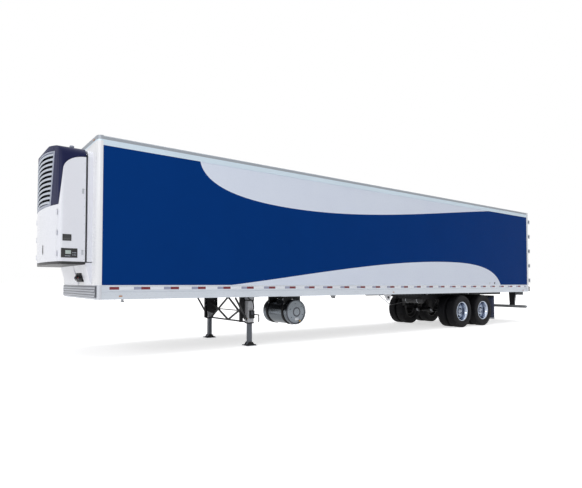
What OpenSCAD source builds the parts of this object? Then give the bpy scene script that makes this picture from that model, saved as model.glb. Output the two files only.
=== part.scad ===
// Refrigerated semi trailer: +X forward, +Y left, +Z up, origin on the ground at the middle.
// Places along the trailer are given as distances behind the nose wall.

/* [Body] */
// Length from the nose wall to the rear face of the doors
body_l = 16154; // [13000:1:20000]
// Width over the rails
body_w = 2590; // [2100:1:3200]
// Height of the roof above the ground
roof_z = 4110; // [3500:1:5000]
// Height of the underside of the bottom rails
rail_z = 1115; // [1080:1:1200]
// Height of the bottom rails and the sills
rail_h = 265; // [220:1:320]
// Height of the top rails
top_rail_h = 180; // [120:1:260]
// Thickness of the insulated side walls
wall_t = 64; // [50:1:90]
// How far the rails stand out past the side walls
rail_proud = 6; // [2:1:12]
// Thickness of the roof
roof_t = 90; // [60:1:120]
// Thickness of the nose wall, and radius of its corners
nose_t = 100; // [60:1:140]
// Height of the cap along the top of the nose
header_h = 100; // [60:1:180]
// Thickness of the insulated floor
floor_t = 145; // [100:1:180]
// How far the floor's top stands above the bottom rails
floor_step = 20; // [0:1:40]
// Distance between cross members
cross_pitch = 406; // [300:1:700]
// Width of a cross member's flange
cross_w = 60; // [40:1:90]
// Thickness of cross member webs, flanges and the floor pan
cross_t = 8; // [5:1:12]

/* [Coupling] */
// Distance of the kingpin behind the nose wall
kingpin_s = 914; // [760:1:1100]
// Thickness of the coupler plate
coupler_t = 22; // [12:1:26]
// Width of the coupler plate
coupler_w = 1400; // [1000:1:1600]
// Length of the coupler plate
coupler_l = 1700; // [1500:1:1800]
// Radius of the kingpin's neck
kingpin_neck_r = 25.4; // [25.4:0.1:44.5]
// Radius of the kingpin's lower collar
kingpin_collar_r = 35.7; // [35.7:0.1:57]

/* [Rear doors] */
// Thickness of a door leaf
leaf_t = 75; // [50:1:100]
// Gap between the door leaves and the rear frame
leaf_gap = 6; // [5:1:12]
// Depth of the rear frame along the trailer
frame_d = 110; // [80:1:160]
// Width of a rear post
post_w = 110; // [90:1:160]
// How far a leaf laps over the sill and the header
leaf_lap = 35; // [20:1:60]
// Distance of the hinge pin behind the leaf's outer face
pin_back = 62; // [58:1:90]
// Radius of a hinge pin
pin_r = 8; // [6:1:10]
// Outer radius of a hinge barrel
barrel_r = 16; // [14:1:18]
// Radial clearance of a barrel on its pin
pin_fit = 0.05; // [0.02:0.01:0.1]
// Number of hinges on each leaf
hinge_count = 5; // [3:1:6]
// Radius of a lock rod
rod_r = 13; // [10:1:16]

/* [Wheels] */
// Outer radius of a tyre
tyre_r = 520; // [440:1:560]
// Width of a tyre
tyre_w = 275; // [230:1:300]
// Radius of the rim that the tyre sits on
rim_r = 286; // [240:1:300]
// Distance between the centres of twin tyres
twin_pitch = 332; // [305:1:400]
// Distance of the outer tyre's face inside the trailer's width
tyre_inset = 8; // [2:1:40]
// Radius of a wheel spindle
spindle_r = 45; // [35:1:60]
// Radial clearance of a hub on its spindle
hub_fit = 0.05; // [0.02:0.01:0.1]
// Distance of the front axle behind the nose wall
axle_1_s = 11644; // [9500:1:12500]
// Distance between the axles
axle_pitch = 1245; // [1220:1:1500]

/* [Landing gear] */
// Distance of the landing gear behind the nose wall
gear_s = 3550; // [3000:1:4200]
// Distance of each leg from the centre line
gear_y = 933; // [700:1:1000]
// Side of the outer leg tube
outer_leg = 145; // [120:1:160]
// Side of the inner leg tube
inner_leg = 90; // [70:1:96]
// Height of the outer leg tube's lower end
outer_leg_z = 500; // [450:1:700]
// Side of the foot along the trailer
foot_l = 250; // [200:1:320]

/* [Fuel tank] */
// Distance of the tank's axis behind the nose wall
tank_s = 4780; // [4450:1:6500]
// Radius of the tank
tank_r = 300; // [240:1:310]
// Height of the tank's axis
tank_z = 730; // [650:1:760]
// Length of the tank across the trailer
tank_l = 1000; // [700:1:1050]
// Distance of the tank's inner end from the centre line
tank_y = 150; // [0:1:200]

/* [Refrigeration unit] */
// Depth of the unit at its middle
unit_d = 710; // [600:1:760]
// Radius of the bow across the unit's front, seen from above
unit_bow_r = 3900; // [3000:10:9000]
// Radius of the arch across the unit's top, seen from the front
unit_arch_r = 5200; // [4000:10:9000]
// Width of the unit
unit_w = 2060; // [1800:1:2200]
// Height of the unit's underside
unit_z = 1755; // [1600:1:1900]
// Height of the unit's top at its middle
unit_top = 3975; // [3700:1:4050]
// Thickness of the unit's panels
panel_t = 30; // [15:1:40]
// Gap between the unit's panels
seam = 5; // [5:1:8]
// Distance of the unit's side panels and pan from the nose wall
unit_frame_d = 125; // [80:1:160]
// Height of the line between the lower doors and the grille
grille_z = 2830; // [2500:1:3000]
// Number of louvres in the grille
louvres = 10; // [6:1:14]

/* [Hidden] */
$fn = 96;
eps = 1;

// Overall places
half_w = body_w / 2;
rear_over = pin_back + barrel_r;
front_x = (unit_d + body_l + rear_over) / 2;
nose_x = front_x - unit_d;
rail_top = rail_z + rail_h;
floor_top = rail_top + floor_step;
wall_in = half_w - wall_t - rail_proud;
wall_top = roof_z - top_rail_h;
frame_s = body_l - leaf_t - leaf_gap - frame_d;
frame_back_s = body_l - leaf_t - leaf_gap;

// Rear doors
leaf_z0 = rail_top - leaf_lap;
leaf_z1 = wall_top + leaf_lap;
hinge_y = half_w - barrel_r - 2;
hinge_s = body_l + pin_back;
leaf_y1 = hinge_y - barrel_r - 8;
leaf_y0 = 8;
hinge_h = 90;
lug_h = 30;
strap_l = 420;
strap_t = 10;
rod_out = 16 + 2 * rod_r;
rod_ys = [leaf_y0 + 160, leaf_y0 + 700];

// Running gear
axle_z = tyre_r;
flange_h = 24;
outer_y = half_w - tyre_inset - tyre_w / 2;
inner_y = outer_y - twin_pitch;
axle_ss = [axle_1_s, axle_1_s + axle_pitch];
bogie_y = 520;
slide_h = 95;
slide_w = 90;
slide_s0 = 9100;
slide_s1 = 15400;
bogie_z0 = 900;
bogie_z1 = rail_z - slide_h;
bogie_s0 = axle_1_s - 1150;
bogie_s1 = axle_1_s + axle_pitch + 760;
flap_s = bogie_s1 - 50;
flap_z0 = 190;
flap_z1 = 990;

// Landing gear and tank
foot_h = 60;
brace_t = 34;
tank_mid_y = tank_y + tank_l / 2;

// Refrigeration unit
unit_hw = unit_w / 2;
unit_corner_r = 90;
unit_top_r = 180;
unit_front_top_r = 110;
pan_h = 45;
skirt_z = rail_top + 8;
connectors_y = 120;
connectors_w = 420;
door_z0 = unit_z + pan_h + seam;
door_z1 = grille_z - seam;
door_y1 = unit_hw - 85;
cowl_z = 3730;
cowl_drop_z = 3460;
cowl_back_x = unit_frame_d + seam;
cowl_leg_x = 530;
cowl_foot_x = unit_face(door_y1) - seam;
grille_top = unit_top - 95;
grille_low_y = 640;
grille_high_y = 800;
small_pin_r = 6;
small_barrel_r = 10;
unit_pin_y = unit_hw - 62;
unit_pin_x = unit_face(door_y1) + small_barrel_r + 6;
unit_hinge_zs = [for (i = [0 : 2]) door_z0 + 140 + i * (door_z1 - door_z0 - 280) / 2];

// ---------- shared shapes ----------

// A block from a distance s0 to s1 behind the nose wall
module block(s0, s1, y0, y1, z0, z1)
    translate([nose_x - s1, y0, z0]) cube([s1 - s0, y1 - y0, z1 - z0]);

// The same block on the left and, mirrored, on the right
module both_sides() {
    children();
    mirror([0, 1, 0]) children();
}

// Outline of a bar between two points, t thick
module bar_outline(p, q, t) {
    d = q - p;
    translate(p) rotate(atan2(d[1], d[0])) translate([-t / 2, -t / 2]) square([norm(d), t]);
}

// A square bar between two points in a plane along the trailer, at height y
module long_bar(y, p, q, t) {
    d = [p[0] - q[0], q[1] - p[1]];
    translate([nose_x - p[0], y, p[1]])
        rotate([0, -atan2(d[1], d[0]), 0])
            translate([0, -t / 2, -t / 2]) cube([norm(d), t, t]);
}

// ---------- body ----------

// Outline of the nose in plan, with round corners
module nose_plan() {
    difference() {
        union() {
            translate([nose_x - nose_t, -half_w + nose_t])
                square([nose_t, body_w - 2 * nose_t]);
            for (side = [-1, 1]) translate([nose_x - nose_t, side * (half_w - nose_t)])
                circle(r = nose_t);
        }
        translate([nose_x - 3 * nose_t, -half_w]) square([2 * nose_t, body_w]);
    }
}

module nose_wall() color("white")
    translate([0, 0, rail_top]) linear_extrude(roof_z - header_h - rail_top) nose_plan();

module nose_header() color("gainsboro")
    translate([0, 0, roof_z - header_h]) linear_extrude(header_h) nose_plan();

module nose_sill() color("silver")
    translate([0, 0, rail_z]) linear_extrude(rail_h) nose_plan();

module floor_deck() color("silver")
    block(nose_t, frame_s, -wall_in, wall_in, floor_top - floor_t, floor_top);

// Floor pan with I-shaped cross members below it, as one profile drawn across the trailer
module underframe() color("dimgray") {
    top = floor_top - floor_t;
    count = floor((frame_s - nose_t - cross_w) / cross_pitch);
    rotate([90, 0, 0]) linear_extrude(2 * wall_in, center = true) {
        translate([nose_x - frame_s, top - cross_t]) square([frame_s - nose_t, cross_t]);
        for (i = [0 : count]) translate([nose_x - nose_t - cross_w / 2 - i * cross_pitch, 0]) {
            translate([-cross_w / 2, rail_z]) square([cross_w, cross_t]);
            translate([-cross_t / 2, rail_z]) square([cross_t, top - rail_z]);
        }
    }
}

// Bottom rails with a shallow channel between two lips for the tape
module bottom_rails() color("gainsboro") {
    lip = 12;
    recess = 3;
    band_z = rail_top - 115;
    both_sides() translate([nose_x - frame_s, 0, 0]) rotate([90, 0, 90])
        linear_extrude(frame_s - nose_t) polygon([
            [wall_in, rail_z], [half_w - lip, rail_z], [half_w - lip, band_z - lip],
            [half_w, band_z], [half_w, band_z + lip], [half_w - recess, band_z + lip],
            [half_w - recess, rail_top - lip], [half_w, rail_top - lip], [half_w, rail_top],
            [wall_in, rail_top]
        ]);
}

module side_wall(side) color("darkblue")
    mirror([0, side < 0 ? 1 : 0, 0])
        block(nose_t, frame_s, wall_in, half_w - rail_proud, rail_top, wall_top);

module side_wall_left() side_wall(1);
module side_wall_right() side_wall(-1);

module roof_panel() color("whitesmoke")
    block(nose_t, frame_s, -wall_in, wall_in, roof_z - roof_t, roof_z);

module top_rails() color("lightsteelblue") {
    r = 30;
    both_sides() translate([nose_x - frame_s, 0, 0]) rotate([90, 0, 90])
        linear_extrude(frame_s - nose_t) {
            translate([wall_in, wall_top]) square([half_w - wall_in, top_rail_h - r]);
            translate([wall_in, wall_top]) square([half_w - wall_in - r, top_rail_h]);
            translate([half_w - r, roof_z - r]) circle(r = r);
        }
}

// ---------- coupling ----------

module coupler_plate() color("dimgray") {
    hole_r = 36.7;
    difference() {
        block(nose_t + 100, nose_t + 100 + coupler_l, -coupler_w / 2, coupler_w / 2,
              rail_z - coupler_t, rail_z);
        translate([nose_x - kingpin_s, 0, rail_z - coupler_t - eps])
            cylinder(r = hole_r, h = coupler_t + 2 * eps);
    }
}

// Pin that the tractor locks on to: shoulder, neck and lower collar
module kingpin() color("gray") {
    shoulder_r = 36.5;
    neck_z = -19;
    collar_z = -54;
    end_z = -84;
    translate([nose_x - kingpin_s, 0, rail_z - coupler_t]) rotate_extrude() polygon([
        [0, end_z], [kingpin_collar_r, end_z], [kingpin_collar_r, collar_z],
        [kingpin_neck_r, collar_z], [kingpin_neck_r, neck_z], [shoulder_r, neck_z],
        [shoulder_r, coupler_t], [0, coupler_t]
    ]);
}

// ---------- rear ----------

// Posts, sill and header, with a keeper in front of each end of each lock rod
module rear_frame() color("lightgray") {
    keeper_w = 60;
    keeper_h = 50;
    keeper_d = leaf_gap + leaf_t - 8;
    block(frame_s, frame_back_s, -half_w, half_w, rail_z, rail_top);
    block(frame_s, frame_back_s, -half_w, half_w, wall_top, roof_z);
    both_sides() {
        block(frame_s, frame_back_s, half_w - post_w, half_w, rail_z, roof_z);
        for (y = rod_ys, z = [leaf_z0 - 15 - keeper_h, leaf_z1 + 15])
            block(frame_back_s - eps, frame_back_s + keeper_d, y - keeper_w / 2, y + keeper_w / 2,
                  z, z + keeper_h);
    }
}

// Heights of the hinges on a leaf
function hinge_zs() = [for (i = [0 : hinge_count - 1])
    leaf_z0 + 200 + i * (leaf_z1 - leaf_z0 - 400) / (hinge_count - 1)];

// Lugs and pins that the rear doors and the unit's doors swing on
module hinge_pins() color("gray") both_sides() {
    lug_gap = 1;
    for (z = hinge_zs()) {
        for (lift = [-hinge_h / 2 - lug_gap - lug_h, hinge_h / 2 + lug_gap])
            translate([0, 0, z + lift]) {
                block(frame_back_s, hinge_s, hinge_y - barrel_r, hinge_y + barrel_r, 0, lug_h);
                translate([nose_x - hinge_s, hinge_y, 0]) cylinder(r = barrel_r, h = lug_h);
            }
        translate([nose_x - hinge_s, hinge_y, z - hinge_h / 2 - lug_gap - eps])
            cylinder(r = pin_r, h = hinge_h + 2 * lug_gap + 2 * eps);
    }
    for (z = unit_hinge_zs) translate([nose_x + unit_pin_x, unit_pin_y, z]) {
        back = unit_pin_x - corner_face(unit_pin_y - 4);
        for (lift = [-50, 31]) translate([0, 0, lift]) {
            cylinder(r = small_barrel_r, h = 19);
            translate([-back, -4, 0]) cube([back, small_barrel_r, 19]);
        }
        translate([0, 0, -32]) cylinder(r = small_pin_r, h = 64);
    }
}

module door_leaf(side) color("white") mirror([0, side < 0 ? 1 : 0, 0])
    block(body_l - leaf_t, body_l, leaf_y0, leaf_y1, leaf_z0, leaf_z1);

module door_left() door_leaf(1);
module door_right() door_leaf(-1);

// Hinge straps with bored barrels, and lock rods on their brackets
module door_hardware(side) color("silver") mirror([0, side < 0 ? 1 : 0, 0]) {
    for (z = hinge_zs()) translate([0, 0, z]) difference() {
        union() {
            block(body_l, body_l + strap_t, leaf_y1 - strap_l, leaf_y1, -hinge_h / 2, hinge_h / 2);
            block(body_l, hinge_s, leaf_y1 - strap_t, leaf_y1, -hinge_h / 2, hinge_h / 2);
            block(hinge_s - strap_t, hinge_s, leaf_y1 - strap_t, hinge_y,
                  -hinge_h / 2, hinge_h / 2);
            translate([nose_x - hinge_s, hinge_y, -hinge_h / 2])
                cylinder(r = barrel_r, h = hinge_h);
        }
        translate([nose_x - hinge_s, hinge_y, -hinge_h / 2 - eps])
            cylinder(r = pin_r + pin_fit, h = hinge_h + 2 * eps);
    }
    for (y = rod_ys) translate([nose_x - body_l - 16 - rod_r + eps, y, 0]) {
        translate([0, 0, leaf_z0 - 60]) cylinder(r = rod_r, h = leaf_z1 - leaf_z0 + 120);
        for (z = [leaf_z0 + 120, 2240, leaf_z1 - 160])
            translate([-eps, -40, z]) cube([16 + rod_r, 80, 40]);
    }
    // Handle of the inner rod
    translate([nose_x - body_l - rod_out, rod_ys[0] - 14, 1900]) {
        cube([12, 28, 150]);
        cube([12, 330, 28]);
    }
}

module door_hardware_left() door_hardware(1);
module door_hardware_right() door_hardware(-1);

module dock_bumpers() color("black") both_sides()
    block(frame_back_s, body_l + 50, half_w - 180, half_w - 20, rail_z + 15, leaf_z0 - 25);

module underride_guard() color("darkgray") {
    bar_z = 502;
    bar_h = 100;
    bar_s0 = frame_s - 10;
    bar_s1 = bar_s0 + 100;
    block(bar_s0, bar_s1, -half_w + 75, half_w - 75, bar_z, bar_z + bar_h);
    // Posts, wider at the top
    both_sides() translate([nose_x - bar_s1 + 10, 0, 0]) rotate([90, 0, 90])
        linear_extrude(80) polygon([
            [606, rail_z], [856, rail_z], [790, bar_z + bar_h - eps], [640, bar_z + bar_h - eps]
        ]);
    both_sides() block(bar_s0 + 10, bar_s1 - 10, 836, 1114, rail_z - 125, rail_z);
}

// ---------- refrigeration unit ----------

// Middle of the circle that rounds a corner between an arc of radius big, which peaks at top,
// and a straight side; edge is how far the round corner's middle is from the centre line
function round_mid(top, big, small, edge) = top - big + sqrt(pow(big - small, 2) - edge * edge);

// Depth of the unit's bowed front at a distance y from its centre line
function unit_face(y) = unit_d - unit_bow_r + sqrt(unit_bow_r * unit_bow_r - y * y);

// Depth of the unit's round front corner at a distance y from its centre line
function corner_face(y) = round_mid(unit_d, unit_bow_r, unit_corner_r, unit_hw - unit_corner_r)
    + sqrt(unit_corner_r * unit_corner_r - pow(y - unit_hw + unit_corner_r, 2));

// Points along an arc, from the first step to the last of a number of equal steps
function arc(middle, r, from, to, steps, first, last) = [for (i = [first : last])
    let (a = from + i * (to - from) / steps) middle + r * [cos(a), sin(a)]];

// Plan outline of the unit, bowed at the front, moved in by a distance
module unit_plan(inset) bowed_outline(-eps, unit_d, unit_bow_r, unit_corner_r, inset);

// Front outline of the unit, arched at the top, moved in by a distance; its height is along X
module unit_front(inset) bowed_outline(unit_z, unit_top, unit_arch_r, unit_top_r, inset);

// Outline as wide as the unit, straight at x = low and bowed at x = top, with round corners
module bowed_outline(low, top, big, small, inset) {
    edge = unit_hw - small;
    mid = round_mid(top, big, small, edge);
    swing = asin(edge / (big - small));
    corner_steps = 10;
    bow_steps = 24;
    r = small - inset;
    polygon(concat(
        [[low, inset - unit_hw]],
        arc([mid, -edge], r, -90, -swing, corner_steps, 0, corner_steps),
        arc([top - big, 0], big - inset, -swing, swing, bow_steps, 1, bow_steps - 1),
        arc([mid, edge], r, swing, 90, corner_steps, 0, corner_steps),
        [[low, unit_hw - inset]]
    ));
}

// Side outline of the unit, with a round upper front edge, moved in by a distance
module unit_profile(inset) {
    r = unit_front_top_r;
    steps = 8;
    polygon(concat(
        [[-2 * eps, unit_z], [unit_d + eps, unit_z], [unit_d + eps, unit_top - r]],
        arc([unit_d - r, unit_top - r], r - inset, 0, 90, steps, 0, steps),
        [[-2 * eps, unit_top - inset]]
    ));
}

// Turns an outline drawn with its height along X so that it stands up across the trailer
module stand_up(depth) rotate([0, -90, 0]) mirror([0, 0, 1]) linear_extrude(depth) children();

// The unit's whole outer shape, moved in by a distance
module unit_shape(inset) translate([nose_x, 0, 0]) intersection() {
    translate([0, 0, unit_z]) linear_extrude(unit_top - unit_z) unit_plan(inset);
    translate([-eps, 0, 0]) stand_up(unit_d + 2 * eps) unit_front(inset);
    rotate([90, 0, 0]) linear_extrude(unit_w, center = true) unit_profile(inset);
}

// Plan outline of the front panels, out to a distance from the centre line
module front_panel_plan(y0, y1) intersection() {
    difference() {
        unit_plan(0);
        unit_plan(panel_t);
    }
    translate([unit_d / 2, y0]) square([unit_d, y1 - y0]);
}

// Back frame against the nose wall, with a narrower neck behind the panels
module unit_frame() color("white") {
    inset = 20;
    neck_inset = 70;
    neck_d = 35;
    bottom = pan_h + seam + eps;
    translate([nose_x, 0, 0]) difference() {
        union() {
            stand_up(unit_frame_d - neck_d) unit_front(inset);
            stand_up(unit_frame_d) unit_front(neck_inset);
        }
        translate([-eps, -unit_hw, unit_z - eps]) cube([unit_frame_d + 2 * eps, unit_w, bottom]);
    }
}

module unit_engine() color("dimgray")
    translate([nose_x + unit_frame_d, -650, door_z0 + 40]) cube([370, 1300, 880]);

module unit_condenser() color("black")
    translate([nose_x + unit_frame_d, -850, grille_z + 20])
        cube([400, 1700, grille_top - grille_z - 60]);

// Lower edge of the cowl seen from the side, moved in by a gap: up its leg and back in a bend
function cowl_edge(foot_z, gap) = concat([[cowl_foot_x - gap, foot_z]], [for (a = [90 : -10 : 0])
    [cowl_back_x + (cowl_leg_x - gap - cowl_back_x) * sin(a),
     cowl_drop_z + (cowl_z - gap - cowl_drop_z) * cos(a)]]);

// Side panels, which wrap round to the front doors below the cowl
module unit_sides() color("white") {
    translate([nose_x, 0, 0]) intersection() {
        translate([0, 0, door_z0]) linear_extrude(cowl_z - door_z0) difference() {
            unit_plan(0);
            unit_plan(panel_t);
        }
        rotate([90, 0, 0]) linear_extrude(unit_w + 2 * eps, center = true) polygon(concat(
            [[cowl_back_x, door_z0], [unit_d, door_z0], [unit_d, door_z1]], cowl_edge(door_z1, seam)
        ));
        both_sides() translate([0, door_y1 + seam, door_z0])
            cube([unit_d, unit_hw - door_y1, cowl_z - door_z0]);
    }
}

// Front service door with bored hinge barrels
module unit_door(side) color("white") mirror([0, side < 0 ? 1 : 0, 0]) {
    gap = seam / 2;
    difference() {
        union() {
            translate([nose_x, 0, door_z0]) linear_extrude(door_z1 - door_z0)
                front_panel_plan(gap, door_y1);
            for (z = unit_hinge_zs) translate([nose_x + unit_pin_x, unit_pin_y, z - 30]) {
                cylinder(r = small_barrel_r, h = 60);
                translate([-small_barrel_r, door_y1 - unit_pin_y - 50, 0])
                    cube([small_barrel_r, unit_pin_y - door_y1 + 50, 60]);
            }
        }
        for (z = unit_hinge_zs) translate([nose_x + unit_pin_x, unit_pin_y, z - 30 - eps])
            cylinder(r = small_pin_r + pin_fit, h = 60 + 2 * eps);
    }
}

module unit_door_left() unit_door(1);
module unit_door_right() unit_door(-1);

// Half the grille's width at a height
function grille_y(z) = grille_low_y
    + (grille_high_y - grille_low_y) * (z - grille_z) / (grille_top - grille_z) - seam;

// Louvres that follow the bowed front, on upright bars behind them
module unit_grille() color("darkslategray") translate([nose_x, 0, 0]) {
    louvre_h = 45;
    bar_y = 400;
    bar_w = 30;
    top = grille_top - unit_arch_r + sqrt(unit_arch_r * unit_arch_r - grille_high_y * grille_high_y);
    pitch = (top - grille_z - louvre_h) / louvres;
    for (i = [0 : louvres]) translate([0, 0, grille_z + i * pitch]) linear_extrude(louvre_h)
        front_panel_plan(-grille_y(grille_z + i * pitch), grille_y(grille_z + i * pitch));
    for (y = [-bar_y, 0, bar_y]) translate([0, 0, grille_z])
        linear_extrude(top - grille_z) front_panel_plan(y - bar_w / 2, y + bar_w / 2);
}

// Cowl over the unit's top, with a leg down each front corner beside the grille
module unit_cowl() color("midnightblue") difference() {
    unit_shape(0);
    unit_shape(panel_t);
    // Below the cowl's lower edge, seen from the side
    translate([nose_x, 0, 0]) rotate([90, 0, 0])
        linear_extrude(unit_w + 2 * eps, center = true) polygon(concat(
            [[-2 * eps, unit_z - eps], [unit_d + 2 * eps, unit_z - eps], [unit_d + 2 * eps, grille_z]],
            cowl_edge(grille_z, 0),
            [[cowl_back_x, unit_top + eps], [-2 * eps, unit_top + eps]]
        ));
    // Opening for the grille, seen from the front, with an arched top
    translate([nose_x + unit_d / 2, 0, 0]) rotate([90, 0, 90]) linear_extrude(unit_d)
        polygon(concat(
            [[-grille_low_y, grille_z - eps], [grille_low_y, grille_z - eps]],
            [for (y = [grille_high_y : -grille_high_y / 8 : -grille_high_y])
                [y, grille_top + seam - unit_arch_r + sqrt(unit_arch_r * unit_arch_r - y * y)]]
        ));
}

module unit_pan() color("black")
    translate([nose_x, 0, unit_z]) linear_extrude(pan_h) intersection() {
        unit_plan(8);
        translate([unit_frame_d, -unit_hw]) square([unit_d, unit_w]);
    }

// Fairing that slopes back from the unit to the nose wall, on each side of the connectors
module unit_skirt() color("white") {
    outer_y = 1000;
    ends = [[-outer_y, connectors_y - 40], [connectors_y + connectors_w + 40, outer_y]];
    for (end = ends) translate([nose_x, end[1], 0]) rotate([90, 0, 0])
        linear_extrude(end[1] - end[0]) polygon([
            [0, skirt_z], [12, skirt_z], [unit_frame_d, unit_z + pan_h - 10], [0, unit_z + pan_h - 10]
        ]);
}

// Board on the nose with two hose couplings and the electrical socket
module service_connectors() color("black") {
    y0 = connectors_y;
    z0 = 1440;
    board_t = 60;
    translate([nose_x, y0, z0]) cube([board_t, connectors_w, 170]);
    for (y = [y0 + 80, y0 + 340]) translate([nose_x + board_t - eps, y, z0 + 85]) {
        rotate([0, 90, 0]) cylinder(r = 22, h = 45);
        translate([20, -30, -45]) cube([35, 60, 60]);
    }
    translate([nose_x + board_t - eps, y0 + 210, z0 + 85]) rotate([0, 90, 0]) difference() {
        cylinder(r = 38, h = 60);
        translate([0, 0, 15]) cylinder(r = 26, h = 60);
    }
}

// ---------- fuel tank ----------

module fuel_tank() color("lightsteelblue")
    translate([nose_x - tank_s, tank_y, tank_z]) rotate([-90, 0, 0]) {
        cylinder(r = tank_r - 12, h = tank_l);
        translate([0, 0, 14]) cylinder(r = tank_r, h = tank_l - 28);
    }

// Hangers from the cross members, with a strap round the tank at each
module tank_bracket() color("black") {
    strap_w = 60;
    gap = 1;
    for (y = [tank_y + 190, tank_y + tank_l - 190])
        translate([nose_x - tank_s, y, 0]) rotate([90, 0, 0])
            linear_extrude(strap_w, center = true) difference() {
                union() {
                    translate([0, tank_z]) circle(r = tank_r + 12);
                    translate([-tank_r + 60, tank_z]) square([2 * tank_r - 120, rail_z - tank_z]);
                }
                translate([0, tank_z]) circle(r = tank_r + gap);
            }
}

// ---------- landing gear ----------

module landing_housings() color("lightgray") both_sides()
    block(gear_s - outer_leg / 2, gear_s + outer_leg / 2, gear_y - outer_leg / 2,
          gear_y + outer_leg / 2, outer_leg_z, rail_z);

module landing_legs() color("dimgray") both_sides() {
    foot_w = foot_l - 10;
    block(gear_s - inner_leg / 2, gear_s + inner_leg / 2, gear_y - inner_leg / 2,
          gear_y + inner_leg / 2, foot_h - eps, outer_leg_z);
    block(gear_s - foot_l / 2, gear_s + foot_l / 2, gear_y - foot_w / 2, gear_y + foot_w / 2,
          0, 14);
    block(gear_s - inner_leg / 2 - 25, gear_s + inner_leg / 2 + 25,
          gear_y - inner_leg / 2 - 15, gear_y + inner_leg / 2 + 15, 14 - eps, foot_h);
}

// Cross braces between the legs, and a brace forward from each leg
module landing_braces() color("dimgray") {
    inner = gear_y - outer_leg / 2;
    t = brace_t;
    low_z = outer_leg_z + 10;
    translate([nose_x - gear_s, 0, 0]) rotate([90, 0, 90]) linear_extrude(t, center = true)
        for (flip = [0, 1]) mirror([flip, 0]) {
            translate([-eps, low_z]) square([inner + eps, t]);
            bar_outline([0, low_z + t / 2], [inner - t, rail_z - 180], t);
            bar_outline([0, rail_z - t], [inner - t, low_z + t], t);
        }
    both_sides() difference() {
        long_bar(gear_y, [gear_s - outer_leg / 2 + 2 * t, outer_leg_z - 20],
                 [gear_s - 380, rail_z - t / 2 - 8], t);
        block(gear_s - outer_leg / 2, gear_s + outer_leg, gear_y - outer_leg / 2,
              gear_y + outer_leg / 2, outer_leg_z - 4 * t, rail_z);
    }
}

// Gear box, cross shaft and folding handle, stowed at the left
module landing_crank() color("gray") {
    shaft_s = gear_s + 35;
    shaft_z = 710;
    shaft_r = 12;
    box_h = 90;
    box_d = 60;
    handle_h = 160;
    leg_face = gear_y + outer_leg / 2;
    end_y = half_w - 25;
    block(gear_s - 55, gear_s + 55, leg_face, leg_face + box_d, shaft_z - box_h, shaft_z + box_h);
    translate([nose_x - shaft_s, leg_face + box_d - eps, shaft_z]) rotate([-90, 0, 0])
        cylinder(r = shaft_r, h = end_y - leg_face - box_d);
    translate([nose_x - shaft_s, end_y - shaft_r, shaft_z - handle_h])
        cylinder(r = shaft_r, h = handle_h);
}

// ---------- running gear ----------

module slide_rails() color("dimgray") both_sides()
    block(slide_s0, slide_s1, bogie_y - slide_w / 2, bogie_y + slide_w / 2, rail_z - slide_h, rail_z);

// Sliding sub-frame: two rails, cross tubes, spring hangers and the arms that carry the mud flaps
module bogie_frame() color("dimgray") {
    half = slide_w / 2 + 10;
    hanger_z = 650;
    both_sides() {
        block(bogie_s0, bogie_s1, bogie_y - half, bogie_y + half, bogie_z0, bogie_z1);
        for (s = axle_ss)
            block(s - 640, s - 500, bogie_y - half, bogie_y + half, hanger_z, bogie_z0 + eps);
        block(flap_s - 20, flap_s + 20, bogie_y + half - eps, half_w - 30, flap_z1, flap_z1 + 20);
    }
    for (s = [bogie_s0 + 100, axle_ss[0] - 570, axle_ss[1] - 570, bogie_s1 - 150])
        block(s - 40, s + 40, -bogie_y + half - eps, bogie_y - half + eps, bogie_z0 + 15, bogie_z1 - 15);
}

// Trailing arms, one on each side of each axle, pivoting in the hangers
module suspension_arms() color("dimgray") both_sides() {
    arm_w = 70;
    for (s = axle_ss) difference() {
        block(s - 540, s + 330, bogie_y - arm_w / 2, bogie_y + arm_w / 2, axle_z + 50, axle_z + 129);
        translate([nose_x - s, bogie_y, axle_z]) rotate([90, 0, 0])
            cylinder(r = 64, h = arm_w + 2 * eps, center = true);
    }
}

module air_springs() color("black") both_sides()
    for (s = axle_ss) translate([nose_x - s - 250, bogie_y, axle_z + 129])
        cylinder(r = 110, h = bogie_z0 - axle_z - 129);

// Axle tubes with spindles, flanges and brake chambers
module axles() color("dimgray") for (s = axle_ss) translate([nose_x - s, 0, axle_z]) {
    tube_r = 63;
    flange_y = inner_y - tyre_w / 2 - 30;
    rotate([90, 0, 0]) cylinder(r = tube_r, h = 2 * flange_y, center = true);
    rotate([90, 0, 0]) cylinder(r = spindle_r, h = 2 * (outer_y + 20), center = true);
    both_sides() {
        translate([0, flange_y - 20, 0]) rotate([90, 0, 0]) cylinder(r = 100, h = 20);
        translate([150, 260, 20]) rotate([90, 0, 0]) cylinder(r = 80, h = 150, center = true);
        translate([0, 200, -20]) cube([150, 60, 40]);
    }
}

module air_tank() color("dimgray") {
    r = 120;
    translate([nose_x - bogie_s0 - 330, 0, bogie_z1 - r - 15]) rotate([90, 0, 0])
        cylinder(r = r, h = 820, center = true);
}

module mud_flaps() color("darkslateblue") both_sides()
    block(flap_s - 6, flap_s + 6, 640, half_w - 20, flap_z0, flap_z1);

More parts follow.
